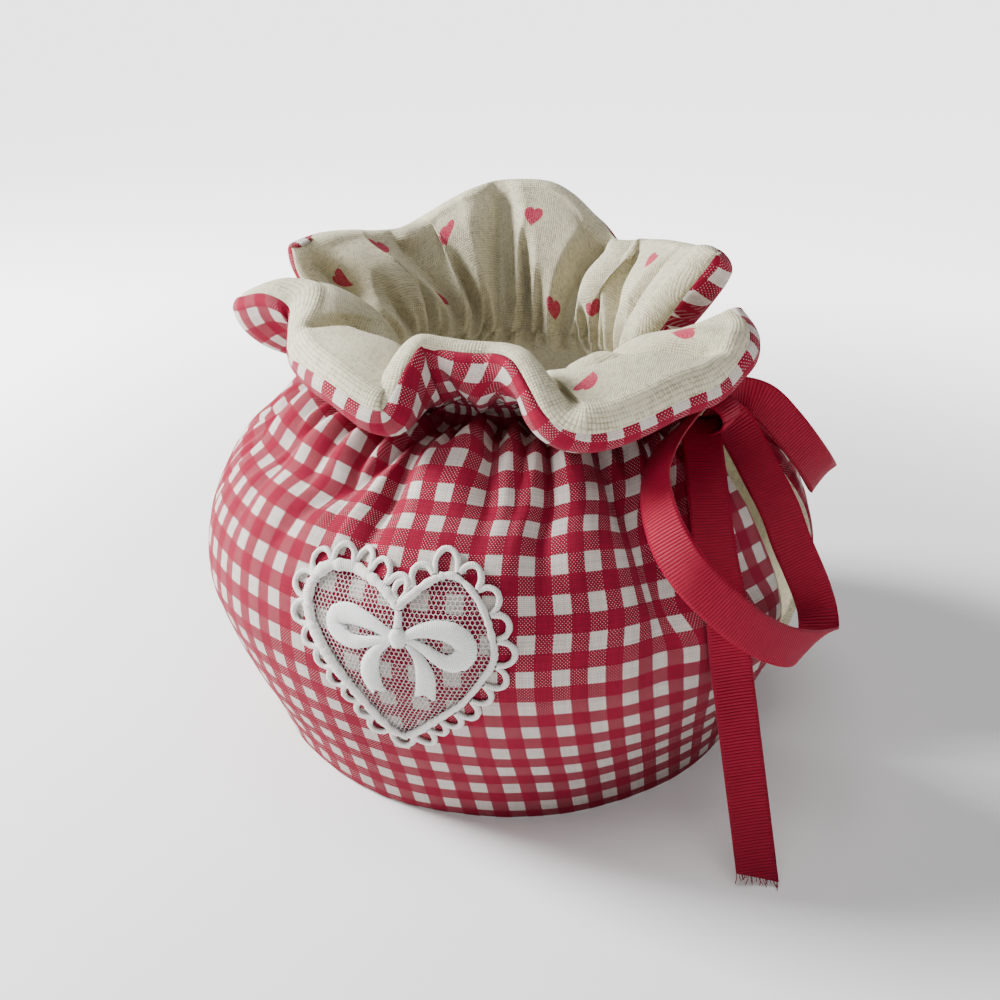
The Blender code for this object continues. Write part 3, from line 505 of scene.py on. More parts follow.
    def cloth_up(self):
        """Each point's place up the flat cloth; the hem is one straight thread."""
        steps = np.linalg.norm(np.diff(self.middle, axis=0), axis=-1)
        steps[:SIDE_ROWS] = np.diff(self.level[:SIDE_ROWS + 1], axis=0)
        up = np.vstack((np.zeros((1, steps.shape[1])), np.cumsum(steps, axis=0)))
        reach = up[-1] - up[SIDE_ROWS]
        short = reach.max() - reach
        share = np.clip((np.arange(len(up)) - SIDE_ROWS) / (RUFFLE_ROWS * HEM_EVENED), 0, 1)
        share = (share * share * (3 - 2 * share))[:, None]
        return up + short[None, :] * share

    def add_edges(self, hem):
        """Adds the padded edge along the hem, then round the slots and the ruffle's sides."""
        up = unit(self.middle[-1] - self.middle[-3])
        end = self.side * Curve(hem).at(self.across[-1])[..., 0]
        reach, share, dip, walked = round_edge(end)
        far = np.where(share < 0, self.far, self.rise[-1])
        height = share * (far - dip)
        rows = self.middle[-1] + up * reach[..., None] \
            + self.out[-1] * (self.side * height)[..., None]
        self.base = np.concatenate((self.middle, self.middle[-1] + up * reach[..., None]))
        self.height = np.vstack((self.rise, height))
        self.points = np.concatenate((self.points, rows))
        self.u = np.vstack((self.u, np.repeat(self.u[-1:], len(rows), axis=0)))
        self.v = np.vstack((self.v, self.v[-1] + walked))
        spare = len(rows)
        out = np.concatenate((self.out, np.repeat(self.out[-1:], spare, axis=0)))
        level = np.vstack((self.level, np.repeat(self.level[-1:], spare, axis=0)))
        blocks = [self.side_edge(which, out, level, spare) for which in (0, 1)]
        (left, left_u, left_v), (right, right_u, right_v) = blocks
        self.points = np.concatenate((left[:, ::-1], self.points, right), axis=1)
        self.u = np.hstack((left_u[:, ::-1], self.u, right_u))
        self.v = np.hstack((left_v, self.v, right_v))

    def side_edge(self, which, out, level, spare):
        """The columns past one side: rounded where it is open, tucked in at a closed seam."""
        edge, beside = (-1, -4) if which else (0, 3)
        away = unit(self.base[:, edge] - self.base[:, beside])
        facing = out[:, edge]
        away = unit(away - facing * (away * facing).sum(-1, keepdims=True))
        is_open = np.append(self.open[which], np.ones(spare))
        end = self.side * Curve(SIDE_EDGE_SEAM).at(level[:, edge])[..., 0]
        reach, share, dip, walked = round_edge(end)
        closed = 1 - SEAM_DIP * np.linspace(0, 1, NOSE_STEPS + 1)[:, None] ** 2 \
            / np.maximum(self.height[:, edge], 1)
        height = self.height[:, edge]
        far = np.where(share < 0, NOSE_FAR, np.abs(height))
        rounded = share * (far - dip) * np.sign(height)
        shown = is_open * rounded + (1 - is_open) * closed * height
        points = (self.base[:, edge] + away * (reach * is_open)[..., None]
                  + facing * (self.side * shown)[..., None])
        steps = (walked * is_open).T
        u = self.u[:, edge][:, None] + (steps if which else -steps)
        return points.swapaxes(0, 1), u, np.repeat(self.v[:, edge][:, None], len(reach), axis=1)


UV_SCALE = 0.01                   # UV units in a millimetre of cloth
CLOTH_LAYER, PRINT_LAYER = "cloth", "print"


def put(name, data):
    """An object of the scene."""
    made = bpy.data.objects.new(name, data)
    bpy.context.scene.collection.objects.link(made)
    return made


def lay(mesh, layer, places):
    """A UV map of a mesh from each corner's place in millimetres."""
    mesh.uv_layers.new(name=layer).data.foreach_set("uv", (places * UV_SCALE).ravel())


def cloth_mesh(name, points, faces, places):
    """A smooth mesh from points in millimetres and each corner's place on flat cloth."""
    mesh = bpy.data.meshes.new(name)
    mesh.from_pydata(((points + AXIS) * MM).tolist(), [], faces)
    lay(mesh, CLOTH_LAYER, places)
    mesh.shade_smooth()
    return put(name, mesh)


def grid_mesh(name, points, u, v):
    """A mesh over a grid of points, each with its place across and up flat cloth."""
    rows, columns = points.shape[:2]
    index = np.arange(rows * columns).reshape(rows, columns)
    corners = np.stack((index[:-1, :-1], index[:-1, 1:], index[1:, 1:], index[1:, :-1]), axis=-1)
    faces = corners.reshape(-1, 4)
    flat = np.stack((u, v), axis=-1).reshape(-1, 2)
    return cloth_mesh(name, points.reshape(-1, 3), faces.tolist(), flat[faces.ravel()])


def thicken(piece, thickness, offset=-1.0):
    """Give an open sheet its thickness."""
    solid = piece.modifiers.new("thickness", "SOLIDIFY")
    solid.thickness = thickness * MM
    solid.offset = offset
    bpy.context.view_layer.update()
    evaluated = piece.evaluated_get(bpy.context.evaluated_depsgraph_get())
    piece.data = bpy.data.meshes.new_from_object(evaluated)
    piece.modifiers.clear()
    return piece


HEM_TURN = [  # in from the hem, up from the table, and cloth past the hem
    (1.3, 0.9, 2.0), (1.0, 0.1, 1.2), (0.4, 0.0, 0.5),
]
HEM_ROUND = 0.5                   # height of the cloth's first row above the turn


def gingham_piece(name, cloth):
    """The gingham of one panel, turned under at the bottom hem."""
    low = cloth.points[0] * (1, 1, 0)
    rows = [low - unit(low) * inside + (0, 0, high) for inside, high, _ in HEM_TURN]
    points = np.concatenate((np.array(rows), cloth.points))
    points[len(rows)] = low + (0, 0, HEM_ROUND)
    u = np.vstack([cloth.u[:1]] * len(rows) + [cloth.u])
    v = np.vstack([cloth.v[:1] - below for _, _, below in HEM_TURN] + [cloth.v])
    return grid_mesh(name, points, u, v)


def place_hearts(piece, cloth, hearts):
    """A second UV map: each face's place about its nearest printed heart."""
    centres = []
    for across, part, tilt in hearts:
        row = SIDE_ROWS + int(part * RUFFLE_ROWS)
        column = int(across * COLUMNS) + NOSE_STEPS + 1
        centres.append((cloth.u[row, column], cloth.v[row, column], math.radians(tilt)))
    centres = np.array(centres)
    mesh = piece.data
    count = len(mesh.loops)
    flat = np.empty(count * 2)
    mesh.uv_layers[CLOTH_LAYER].data.foreach_get("uv", flat)
    corners = flat.reshape(-1, 2) / UV_SCALE
    faces = corners.reshape(-1, 4, 2).mean(axis=1)
    away = np.linalg.norm(faces[:, None] - centres[None, :, :2], axis=-1)
    nearest = np.repeat(np.argmin(away, axis=1), 4)
    offset = corners - centres[nearest, :2]
    cosine, sine = np.cos(centres[nearest, 2]), np.sin(centres[nearest, 2])
    turned = np.stack((offset[:, 0] * cosine + offset[:, 1] * sine,
                       offset[:, 1] * cosine - offset[:, 0] * sine), axis=-1)
    lay(mesh, PRINT_LAYER, turned)


# ---------------------------------------------------------------- ribbon
RIBBON_WIDE = 10.0
RIBBON_THICK = 0.5
RIBBON_STEP = 0.9
RIBBON_COLUMNS = 10
RIBBON_CUP = 0.35                 # how far the ribbon's edges bend towards one face
FRONT_LOOP = [  # x, y, z, then the direction across the ribbon
    (57.8, -14.9, 101.1, 0.75, 0.1, 0.65), (63.1, -12.3, 97.3, 0.75, 0.3, 0.55),
    (67.3, -13.6, 92.5, 0.79, 0.4, 0.45), (72.3, -17.9, 86.9, 0.78, 0.45, 0.41),
    (78.5, -23.0, 79.6, 0.75, 0.49, 0.45), (82.4, -25.5, 72.4, 0.78, 0.48, 0.41),
    (85.8, -26.2, 66.2, 0.81, 0.46, 0.36), (88.6, -25.6, 60.0, 0.86, 0.43, 0.27),
    (90.8, -26.0, 54.3, 0.86, 0.4, 0.3), (91.9, -30.0, 50.6, 0.79, 0.37, 0.45),
    (91.1, -37.8, 51.3, 0.56, 0.41, 0.7), (88.3, -46.0, 54.3, 0.3, 0.42, 0.85),
    (83.6, -53.3, 59.0, 0.2, 0.41, 0.88), (77.8, -59.0, 65.0, 0.34, 0.42, 0.82),
    (72.2, -62.2, 71.0, 0.53, 0.4, 0.73), (65.9, -63.4, 77.3, 0.68, 0.3, 0.65),
    (59.8, -61.4, 83.6, 0.82, 0.05, 0.5), (54.8, -55.8, 89.6, 0.8, -0.32, 0.46),
    (51.8, -47.7, 94.0, 0.68, -0.55, 0.46), (51.7, -38.1, 97.7, 0.7, -0.42, 0.55),
    (53.6, -28.6, 100.3, 0.73, -0.16, 0.66), (55.9, -19.8, 101.2, 0.7, 0, 0.7),
]
BACK_LOOP = [  # x, y, z, then the direction across the ribbon
    (57.9, -13.2, 100.9, 0.45, 0.45, 0.75), (63.2, -5.0, 101.4, 0.5, 0.5, 0.7),
    (69.5, -2.8, 99.8, 0.5, 0.52, 0.69), (75.7, -2.0, 94.2, 0.5, 0.52, 0.69),
    (81.6, -0.2, 86.8, 0.5, 0.52, 0.69), (85.5, 4.4, 79.6, 0.5, 0.52, 0.69),
    (85.9, 9.5, 75.8, 0.5, 0.52, 0.69), (83.7, 13.7, 77.2, 0.5, 0.52, 0.69),
    (78.2, 14.2, 83.7, 0.5, 0.52, 0.69), (70.7, 9.7, 90.6, 0.5, 0.52, 0.69),
    (65.0, 1.5, 96.7, 0.5, 0.52, 0.69), (59.4, -9.8, 100.5, 0.45, 0.45, 0.75),
]
TAIL = [  # x, y, z, then the direction across the ribbon
    (55.8, -17.0, 98.4, 0.95, 0.33, 0), (58.1, -23.6, 95.7, 0.95, 0.33, 0),
    (61.4, -32.5, 89.3, 0.95, 0.33, 0), (65.1, -42.6, 82.1, 0.94, 0.33, 0.02),
    (68.0, -48.3, 75.1, 0.94, 0.34, 0.04), (70.9, -51.3, 67.1, 0.94, 0.35, 0.05),
    (73.8, -53.6, 52.3, 0.94, 0.35, 0.05), (77.2, -57.3, 39.0, 0.93, 0.36, 0.04),
    (80.6, -61.3, 26.0, 0.93, 0.36, 0.02), (84.0, -65.3, 13.0, 0.93, 0.36, 0),
    (87.2, -69.2, 0.8, 0.93, 0.36, 0),
]
CASING_END = [  # x, y, z, then the direction across the ribbon
    (57.0, -15.3, 101.7, 0.1, 0.8, 0.6), (50.6, -9.8, 102.8, 0.1, 0.8, 0.6),
    (43.5, -5.6, 102.8, 0.1, 0.85, 0.5), (37.0, -2.9, 102.8, 0.05, 0.9, 0.4),
]
KNOT_MIDDLE = np.array((57.2, -16.6, 100.4))
KNOT_SIZE = (7.2, 2.0, 4.4)       # half sizes across, forwards and up
KNOT_ACROSS = (0.25, 0.95, 0.1)   # the direction across its ribbon
KNOT_STEPS = 16
KNOT_WIDE = 9.0
TAIL_SLANT = 3.6                  # the tail's end is cut this far aslant
FRAY_THREADS = 22
FRAY_LONG = 2.6
FRAY_RADIUS, FRAY_LIFT = 0.11, 0.15
FRAY_FACING = (0.3, 0.9, 0.1)


def ribbon_run(rows, slant, wide=RIBBON_WIDE):
    """The middle face of one run of ribbon: points [along][across] and their cloth places."""
    table = np.array(rows, float)
    led = Curve(by_length(table[:, :3], table))
    total = led.place[-1]
    count = max(int(total / RIBBON_STEP), 4) + 1
    part = np.linspace(-1, 1, RIBBON_COLUMNS + 1)
    along = np.linspace(0, 1, count)[:, None] * (total - slant * (1 - part[None, :]) / 2)
    values = led.at(along)
    middle, across = values[..., :3], unit(values[..., 3:])
    ahead = unit(np.gradient(middle, axis=0))
    across = unit(across - ahead * (across * ahead).sum(-1, keepdims=True))
    face = np.cross(ahead, across)
    points = (middle + across * (part * wide / 2)[None, :, None]
              + face * (RIBBON_CUP * (part ** 2 - 0.4))[None, :, None])
    return points, np.repeat((part * RIBBON_WIDE / 2)[None], count, axis=0), along


def ribbon_piece(name, rows, slant, wide):
    """One run of ribbon as a thin solid."""
    piece = grid_mesh(name, *ribbon_run(rows, slant, wide))
    return thicken(piece, RIBBON_THICK, offset=0.0)


def knot_rows():
    """The run of ribbon that wraps the knot."""
    rows = []
    for i in range(KNOT_STEPS + 1):
        turn = 2 * math.pi * i / KNOT_STEPS
        wide, deep, high = KNOT_SIZE
        place = KNOT_MIDDLE + np.array((wide * math.cos(turn), -deep * math.cos(turn),
                                        high * math.sin(turn)))
        rows.append((*place, *KNOT_ACROSS))
    return rows


# ---------------------------------------------------------------- cords and tubes
class Tubes:
    """Many thin round strands gathered into one mesh."""

    def __init__(self):
        self.points, self.faces, self.places = [], [], []

    def strand(self, path, radius, sides, facing, closed=False, flat=1.0):
        """A strand along a path in millimetres; flat squashes it towards its facing."""
        path = np.asarray(path, float)
        count = len(path)
        ahead = np.roll(path, -1, 0) - np.roll(path, 1, 0) if closed else np.gradient(path, axis=0)
        ahead = unit(ahead)
        sideways = unit(np.cross(ahead, np.broadcast_to(facing, path.shape)))
        up = np.cross(sideways, ahead)
        radius = np.broadcast_to(np.asarray(radius, float), (count,))
        angle = 2 * math.pi * np.arange(sides) / sides
        ring = (sideways[:, None] * np.cos(angle)[None, :, None]
                + up[:, None] * (flat * np.sin(angle))[None, :, None])
        base = len(self.points)
        self.points.extend((path[:, None] + ring * radius[:, None, None]).reshape(-1, 3))
        walked = np.append(0, np.cumsum(np.linalg.norm(np.diff(path, axis=0), axis=-1)))
        for i in range(count if closed else count - 1):
            after = (i + 1) % count
            for k in range(sides):
                beside = (k + 1) % sides
                self.faces.append((base + i * sides + k, base + i * sides + beside,
                                   base + after * sides + beside, base + after * sides + k))
                end = walked[i + 1] if i + 1 < count else walked[i] + walked[1]
                self.places.append(((k, walked[i]), (k + 1, walked[i]), (k + 1, end), (k, end)))

    def piece(self, name):
        """The strands as one object; their places are the side round and the way along."""
        return cloth_mesh(name, np.array(self.points), self.faces, np.array(self.places))


def fray_piece():
    """Loose threads at the tail's cut end."""
    points, _, _ = ribbon_run(TAIL, TAIL_SLANT)
    ends, ahead = points[-1], unit(points[-1] - points[-3])
    tubes = Tubes()
    for i in range(FRAY_THREADS):
        place = (i + 0.5 + 0.6 * chance(i, 1)) / FRAY_THREADS * RIBBON_COLUMNS
        k = int(place)
        start = ends[k] + (ends[min(k + 1, RIBBON_COLUMNS)] - ends[k]) * (place - k)
        drift = np.array((chance(i, 2), chance(i, 3), 0.0)) * 3.0
        long = FRAY_LONG * (0.45 + 0.9 * abs(chance(i, 4) * 2))
        path = [start - ahead[k] * 1.2, start + ahead[k] * 0.3 * long + drift * 0.15,
                start + ahead[k] * long * 0.7 + drift * 0.55]
        path = np.array(path)
        path[:, 2] = np.maximum(path[:, 2], FRAY_LIFT)
        tubes.strand(path, FRAY_RADIUS, 4, FRAY_FACING)
    return tubes.piece("ribbon_fray")


# ---------------------------------------------------------------- the lace heart
HEART_TURN, HEART_LENGTH, HEART_TILT = 1.0, 61.5, 2.5     # its middle and its tilt
HEART_RADIUS = 83.0               # the side's radius there
HEART_OUTLINE = [  # x to the right and y up over the cloth, from the notch leftwards
    (2.7, 10.1), (-1.1, 13.4), (-5.9, 15.6), (-10.8, 16.9), (-15.5, 16.7), (-18.9, 15.3),
    (-21.3, 12.4), (-22.1, 9.3), (-21.6, 5.7), (-20.4, 2.6), (-18.2, -0.9), (-15.9, -4.1),
    (-13.2, -7.6), (-10.3, -11.6), (-7.8, -15.8), (-5.3, -20.2), (-2.8, -23.8), (0.6, -25.4),
    (4.6, -23.1), (8.5, -19.3), (12.9, -15.4), (16.9, -11.7), (19.7, -8.3), (22.0, -5.1),
    (24.1, -2.1), (25.0, 0.8), (24.7, 3.9), (23.9, 7.5), (22.5, 11.0), (20.4, 13.9),
    (17.6, 16.2), (14.7, 17.1), (11.4, 16.3), (8.3, 14.5), (5.4, 12.3),
]
LOOP_COUNT = 27
LOOP_DEEP = 4.1
LOOP_RADIUS, LOOP_LIFT = 0.78, 0.45
LOOP_FOOT = 1.1                   # how far outside the outline a loop starts
BORDER_RADIUS, BORDER_LIFT = 1.2, 0.75
BORDER_UNEVEN, BORDER_THICKER = 0.40, 0.32      # along the border, and towards the left
NET_PITCH = 1.12
NET_RADIUS = 0.11
NET_LIFT = 0.40
NET_SIZE, NET_CORNER = (52, 46), (-24.5, -27.0)
NET_SLACK, NET_CHANCES = 0.10, 97
BOW_BANDS = {  # x, y, half width
    "left_loop": [(1.6, 3.6, 0.8), (-2.3, 5.4, 1.2), (-6.6, 6.6, 1.7), (-10.6, 7.0, 2.0),
                  (-13.4, 6.0, 2.2), (-13.9, 3.9, 2.2), (-12.0, 2.0, 2.0), (-9.2, 1.0, 1.6),
                  (-6.0, 1.4, 1.2), (-2.6, 2.3, 0.9), (1.2, 3.2, 0.7)],
    "right_loop": [(4.2, 3.8, 0.8), (7.7, 5.3, 1.2), (11.5, 5.9, 1.7), (15.3, 5.4, 2.0),
                   (17.9, 3.6, 2.2), (18.6, 1.3, 2.2), (17.2, -0.7, 2.1), (14.8, -1.5, 1.8),
                   (12.3, -0.6, 1.4), (9.5, 1.3, 1.1), (6.9, 2.7, 0.8), (4.6, 3.3, 0.7)],
    "left_tail": [(0.9, 2.4, 0.5), (-2.1, 0.4, 1.1), (-4.0, -2.4, 1.7), (-4.9, -5.9, 2.1),
                  (-4.4, -9.0, 2.0), (-3.1, -11.6, 1.7)],
    "right_tail": [(5.0, 2.2, 0.5), (7.1, 0.0, 1.0), (8.4, -2.8, 1.6), (8.8, -5.8, 2.0),
                   (8.5, -8.6, 2.1), (8.0, -11.4, 2.2)],
    "knot": [(2.7, 5.6, 1.0), (2.9, 3.7, 1.9), (3.1, 1.7, 1.3)],
    "stem": [(2.9, 9.2, 0.7), (2.9, 7.0, 0.8), (2.8, 5.2, 1.0)],
}
BAND_HIGH = 0.95
BAND_WIDER = 1.18
BAND_STEP, BAND_COLUMNS = 0.35, 13
FORK_DEEP, FORK_LONG = 1.9, 5     # the notch in a tail's end


class ClothSurface:
    """Places on a finished cloth by turn and length, with a height over it."""

    def __init__(self, cloth):
        self.cloth = cloth
        ahead = np.gradient(cloth.points, axis=1)
        up = np.gradient(cloth.points, axis=0)
        self.facing = unit(np.cross(ahead, up))

    def at(self, x, y, lift):
        """Points for places about the heart's middle in millimetres, and their facings."""
        tilt = math.radians(HEART_TILT)
        right = x * math.cos(tilt) - y * math.sin(tilt)
        length = HEART_LENGTH + x * math.sin(tilt) + y * math.cos(tilt)
        turn = HEART_TURN + np.degrees(right / HEART_RADIUS)
        first, last = FRONT.edge(0, length), FRONT.edge(1, length)
        row = np.clip(length / SIDE_LENGTH * SIDE_ROWS, 0, SIDE_ROWS - 1.001)
        column = (turn - first) / (last - first) * COLUMNS + NOSE_STEPS + 1
        r, c = np.floor(row).astype(int), np.floor(column).astype(int)
        dr, dc = (row - r)[..., None], (column - c)[..., None]

        def between(grid):
            low = grid[r, c] * (1 - dc) + grid[r, c + 1] * dc
            high = grid[r + 1, c] * (1 - dc) + grid[r + 1, c + 1] * dc
            return low * (1 - dr) + high * dr
        facing = unit(between(self.facing))
        return between(self.cloth.points) + facing * np.asarray(lift)[..., None], facing


def heart_line(count):
    """The heart's outline as evenly parted places, closed."""
    rows = np.array(HEART_OUTLINE + HEART_OUTLINE[:1])
    led = Curve(by_length(rows, rows))
    return led.at(np.linspace(0, led.place[-1], count + 1)[:-1])


def inside_outline(x, y, line, margin):
    """Whether places lie inside the outline, by at least a margin."""
    ahead = np.roll(line, -1, 0) - line
    crossing = np.zeros(x.shape, int)
    nearest = np.full(x.shape, 1e9)
    for (ax, ay), (dx, dy) in zip(line, ahead):
        span = ((ay <= y) & (ay + dy > y)) | ((ay > y) & (ay + dy <= y))
        at_x = ax + dx * (y - ay) / (dy if abs(dy) > 1e-9 else 1e-9)
        crossing += span & (at_x > x)
        part = np.clip(((x - ax) * dx + (y - ay) * dy) / (dx * dx + dy * dy), 0, 1)
        nearest = np.minimum(nearest, np.hypot(x - ax - dx * part, y - ay - dy * part))
    return (crossing % 2 == 1) & (nearest > margin)


def lace_net(surface, line):
    """The net inside the heart: hexagons of fine thread."""
    tubes = Tubes()
    side = NET_PITCH / math.sqrt(3)
    columns, rows = int(NET_SIZE[0] / NET_PITCH), int(NET_SIZE[1] / (1.5 * side))
    strands = []
    for j in range(rows):
        for i in range(columns):
            x = NET_CORNER[0] + (i + 0.5 * (j % 2)) * NET_PITCH
            y = NET_CORNER[1] + j * 1.5 * side
            low = (x, y + side * 0.5)
            strands.append((low, (x, y + side * 1.5)))
            strands.append((low, (x - NET_PITCH / 2, y)))
            strands.append((low, (x + NET_PITCH / 2, y)))
    ends = np.array(strands)
    slack = np.array([[chance(i, 2), chance(i, 3)] for i in range(NET_CHANCES)])
    pick = np.round(ends[..., 0] * 9 + ends[..., 1] * 31).astype(int) % NET_CHANCES
    ends = ends + NET_SLACK * slack[pick]
    keep = inside_outline(ends[:, 0, 0], ends[:, 0, 1], line, 0.1)
    for start, end in ends[keep]:
        x = np.array((start[0], end[0]))
        y = np.array((start[1], end[1]))
        path, facing = surface.at(x, y, np.full(2, NET_LIFT))
        tubes.strand(path, NET_RADIUS, 3, facing)
    return tubes.piece("lace_net")


def lace_cords(surface, line):
    """The heart's stitched border and the loops of cord outside it."""
    tubes = Tubes()
    path, facing = surface.at(line[:, 0], line[:, 1], np.full(len(line), BORDER_LIFT))
    swell = np.array([1 + BORDER_UNEVEN * chance(i * 0.35, 6) for i in range(len(line))])
    thick = 1 + BORDER_THICKER * np.clip(-line[:, 0] / 18, -1, 1)
    tubes.strand(path, BORDER_RADIUS * swell * thick, 10, facing, closed=True, flat=0.6)
    ahead = unit(np.roll(line, -1, 0) - np.roll(line, 1, 0))
    outwards = np.stack((ahead[:, 1], -ahead[:, 0]), axis=-1)
    per_loop = len(line) // LOOP_COUNT
    for k in range(LOOP_COUNT):
        picks = (np.arange(per_loop + 1) + k * per_loop) % len(line)
        base, out = line[picks], outwards[picks]
        deep = LOOP_DEEP * (1 + 0.45 * chance(k, 7))
        point = 0.75 + 0.5 * abs(chance(k, 8))
        part = np.linspace(0, 1, per_loop + 1)[:, None]
        bulge = np.sin(math.pi * part) ** (0.62 * point)
        hub = (base[0] + base[-1]) / 2
        wide = base + (base - hub) * (0.05 * np.sin(math.pi * part) ** 0.6)
        mean_out = unit(out.mean(0))
        places = wide + (out * 0.6 + mean_out * 0.4) * (LOOP_FOOT + deep * 0.86 * bulge)
        lift = LOOP_LIFT + 0.25 * np.sin(math.pi * part[:, 0]) * (1 + chance(k, 9))
        path, facing = surface.at(places[:, 0], places[:, 1], lift)
        radius = LOOP_RADIUS * (1 + 0.25 * np.array([chance(k * 5 + i * 0.4, 3)
                                                     for i in range(per_loop + 1)]))
        tubes.strand(path, radius, 7, facing, flat=0.8)
    return tubes.piece("lace_cords")


def lace_band(surface, name, rows):
    """One padded satin-stitched band of the bow."""
    table = np.array(rows, float) * (1, 1, BAND_WIDER)
    led = Curve(by_length(table[:, :2], table))
    total = led.place[-1]
    count = max(int(total / BAND_STEP), 8)
    along = np.linspace(0, total, count + 1)
    values = led.at(along)
    middle = values[:, :2]
    ahead = unit(np.gradient(middle, axis=0))
    across = np.stack((-ahead[:, 1], ahead[:, 0]), axis=-1)
    part = np.linspace(-1, 1, BAND_COLUMNS)
    ragged = np.array([1 + 0.10 * chance(i * 1.7, len(name)) for i in range(count + 1)])
    fork = FORK_DEEP if name.endswith("tail") else 0.0
    near_end = np.clip((along - total + FORK_LONG) / FORK_LONG, 0, 1)
    pull = -fork * (1 - np.abs(part))[None, :] * near_end[:, None]
    places = (middle[:, None] + across[:, None] * (part[None, :] * values[:, 2:3]
              * ragged[:, None])[..., None] + ahead[:, None] * pull[..., None])
    dome = (1 - np.abs(part) ** 2.6) ** 0.6
    lift = 0.35 + (BAND_HIGH + (0.5 if name == "knot" else 0)) * dome[None, :] \
        * np.clip(values[:, 2:3] / 1.6, 0.5, 1)
    points, _ = surface.at(places[..., 0], places[..., 1], lift)
    u = np.repeat(part[None] * 2, count + 1, axis=0)
    return grid_mesh("lace_" + name, points, u, np.repeat(along[:, None], BAND_COLUMNS, axis=1))


# ---------------------------------------------------------------- shader arithmetic
def maths(operation, swapped=False):
    """A method that adds a Math node to a value and the values given with it."""
    def add_node(self, *others):
        terms = (*others, self) if swapped else (self, *others)
        return self.shop.node("ShaderNodeMath", {"operation": operation}, *terms)
    return add_node


class Value:
    """A shader socket; Python's operators on it add Math nodes."""

    def __init__(self, shop, socket):
        self.shop, self.socket = shop, socket

    __add__, __radd__ = maths("ADD"), maths("ADD", swapped=True)
    __sub__, __rsub__ = maths("SUBTRACT"), maths("SUBTRACT", swapped=True)
    __mul__, __rmul__ = maths("MULTIPLY"), maths("MULTIPLY", swapped=True)
    __truediv__, __rtruediv__ = maths("DIVIDE"), maths("DIVIDE", swapped=True)
    __pow__, __rpow__ = maths("POWER"), maths("POWER", swapped=True)
    __lt__, __gt__ = maths("LESS_THAN"), maths("GREATER_THAN")
    __abs__, whole, fraction = maths("ABSOLUTE"), maths("FLOOR"), maths("FRACT")
    root, most = maths("SQRT"), maths("MAXIMUM")

    def ramp(self, low, high):
        """0 below low and 1 above high, smooth between."""
        return self.shop.node("ShaderNodeMapRange", {"interpolation_type": "SMOOTHSTEP"},
                              self, low, high, 0.0, 1.0)


NUMBER_SOCKETS = (None,) * 5      # the Mix node's sockets between its share and its colours


class Shop:
    """A material being made: adds nodes and links their sockets."""

    def __init__(self, name):
        self.material = bpy.data.materials.new(name)
        self.material.use_nodes = True
        self.tree = self.material.node_tree
        self.shader = self.tree.nodes["Principled BSDF"]

    def node(self, kind, settings, *inputs, output=0, **named):
        """A node with its settings made first, then its sockets' values or links."""
        made = self.tree.nodes.new(kind)
        for key, value in settings.items():
            setattr(made, key, value)
        sockets = list(enumerate(inputs)) + [(key.replace("_", " "), value)
                                             for key, value in named.items()]
        for key, value in sockets:
            self.feed(made.inputs[key], value)
        return Value(self, made.outputs[output])

    def feed(self, socket, value):
        """Link a value to a socket, or set the socket."""
        if isinstance(value, Value):
            self.tree.links.new(value.socket, socket)
        elif isinstance(value, tuple) and len(value) == 3 and socket.type == "RGBA":
            socket.default_value = (*value, 1.0)
        elif value is not None:
            socket.default_value = value

    def set(self, **sockets):
        """Feed the shader's own sockets."""
        for key, value in sockets.items():
            self.feed(self.shader.inputs[key.replace("_", " ")], value)

    def mix(self, share, one, other, blend="MIX"):
        """A colour between two colours, or another blend of them."""
        return self.node("ShaderNodeMix", {"data_type": "RGBA", "blend_type": blend},
                         share, *NUMBER_SOCKETS, one, other, output=2)

    def split(self, vector):
        """The x and the y of a vector."""
        x = self.node("ShaderNodeSeparateXYZ", {}, vector)
        return x, Value(self, x.socket.node.outputs[1])

    def places(self, layer=CLOTH_LAYER, size=1.0):
        """The two places on a layer of flat cloth, in sizes given in millimetres."""
        across, up = self.split(self.node("ShaderNodeUVMap", {"uv_map": layer}))
        return across / (UV_SCALE * size), up / (UV_SCALE * size)

    def point(self, x, y, z=0.0):
        """A vector from three values."""
        return self.node("ShaderNodeCombineXYZ", {}, x, y, z)

    def noise(self, where, scale, detail=2.0, roughness=0.5):
        """Soft noise about 0.5."""
        return self.node("ShaderNodeTexNoise", {}, Vector=where, Scale=scale, Detail=detail,
                         Roughness=roughness)

    def chance(self, where):
        """A random value from 0 to 1 for each place."""
        return self.node("ShaderNodeTexWhiteNoise", {"noise_dimensions": "3D"}, where)

    def bump(self, height, distance, strength):
        """A normal from a height in millimetres."""
        return self.node("ShaderNodeBump", {}, Strength=strength, Distance=distance * MM,
                         Height=height)


def ridge(value, roundness=2.0):
    """1 along the middle of each whole step of a value, and 0 between the steps."""
    return 1.0 - abs(value.fraction() * 2.0 - 1.0) ** roundness


def woven(u, v, pitch):
    """A plain weave: which thread is on top, and the height of the threads."""
    column, row = (u / pitch).whole(), (v / pitch).whole()
    over = ((column + row) * 0.5).fraction() * 2.0 > 0.5
    warp, weft = ridge(u / pitch), ridge(v / pitch)
    height = over * (warp * (0.35 + 0.65 * weft)) + (1.0 - over) * (weft * (0.35 + 0.65 * warp))
    return column, row, over, height


CHECK = 4.2                       # one square of the gingham
CHECK_START = 0.15                # where a thread's colour is read, from its edge
GINGHAM_THREAD = 0.42
DOT_EDGE = (0.80, 0.96)           # heights of thread between which a white dot ends
GINGHAM_RED = (0.255, 0.006, 0.029)
GINGHAM_WHITE = (0.60, 0.53, 0.49)


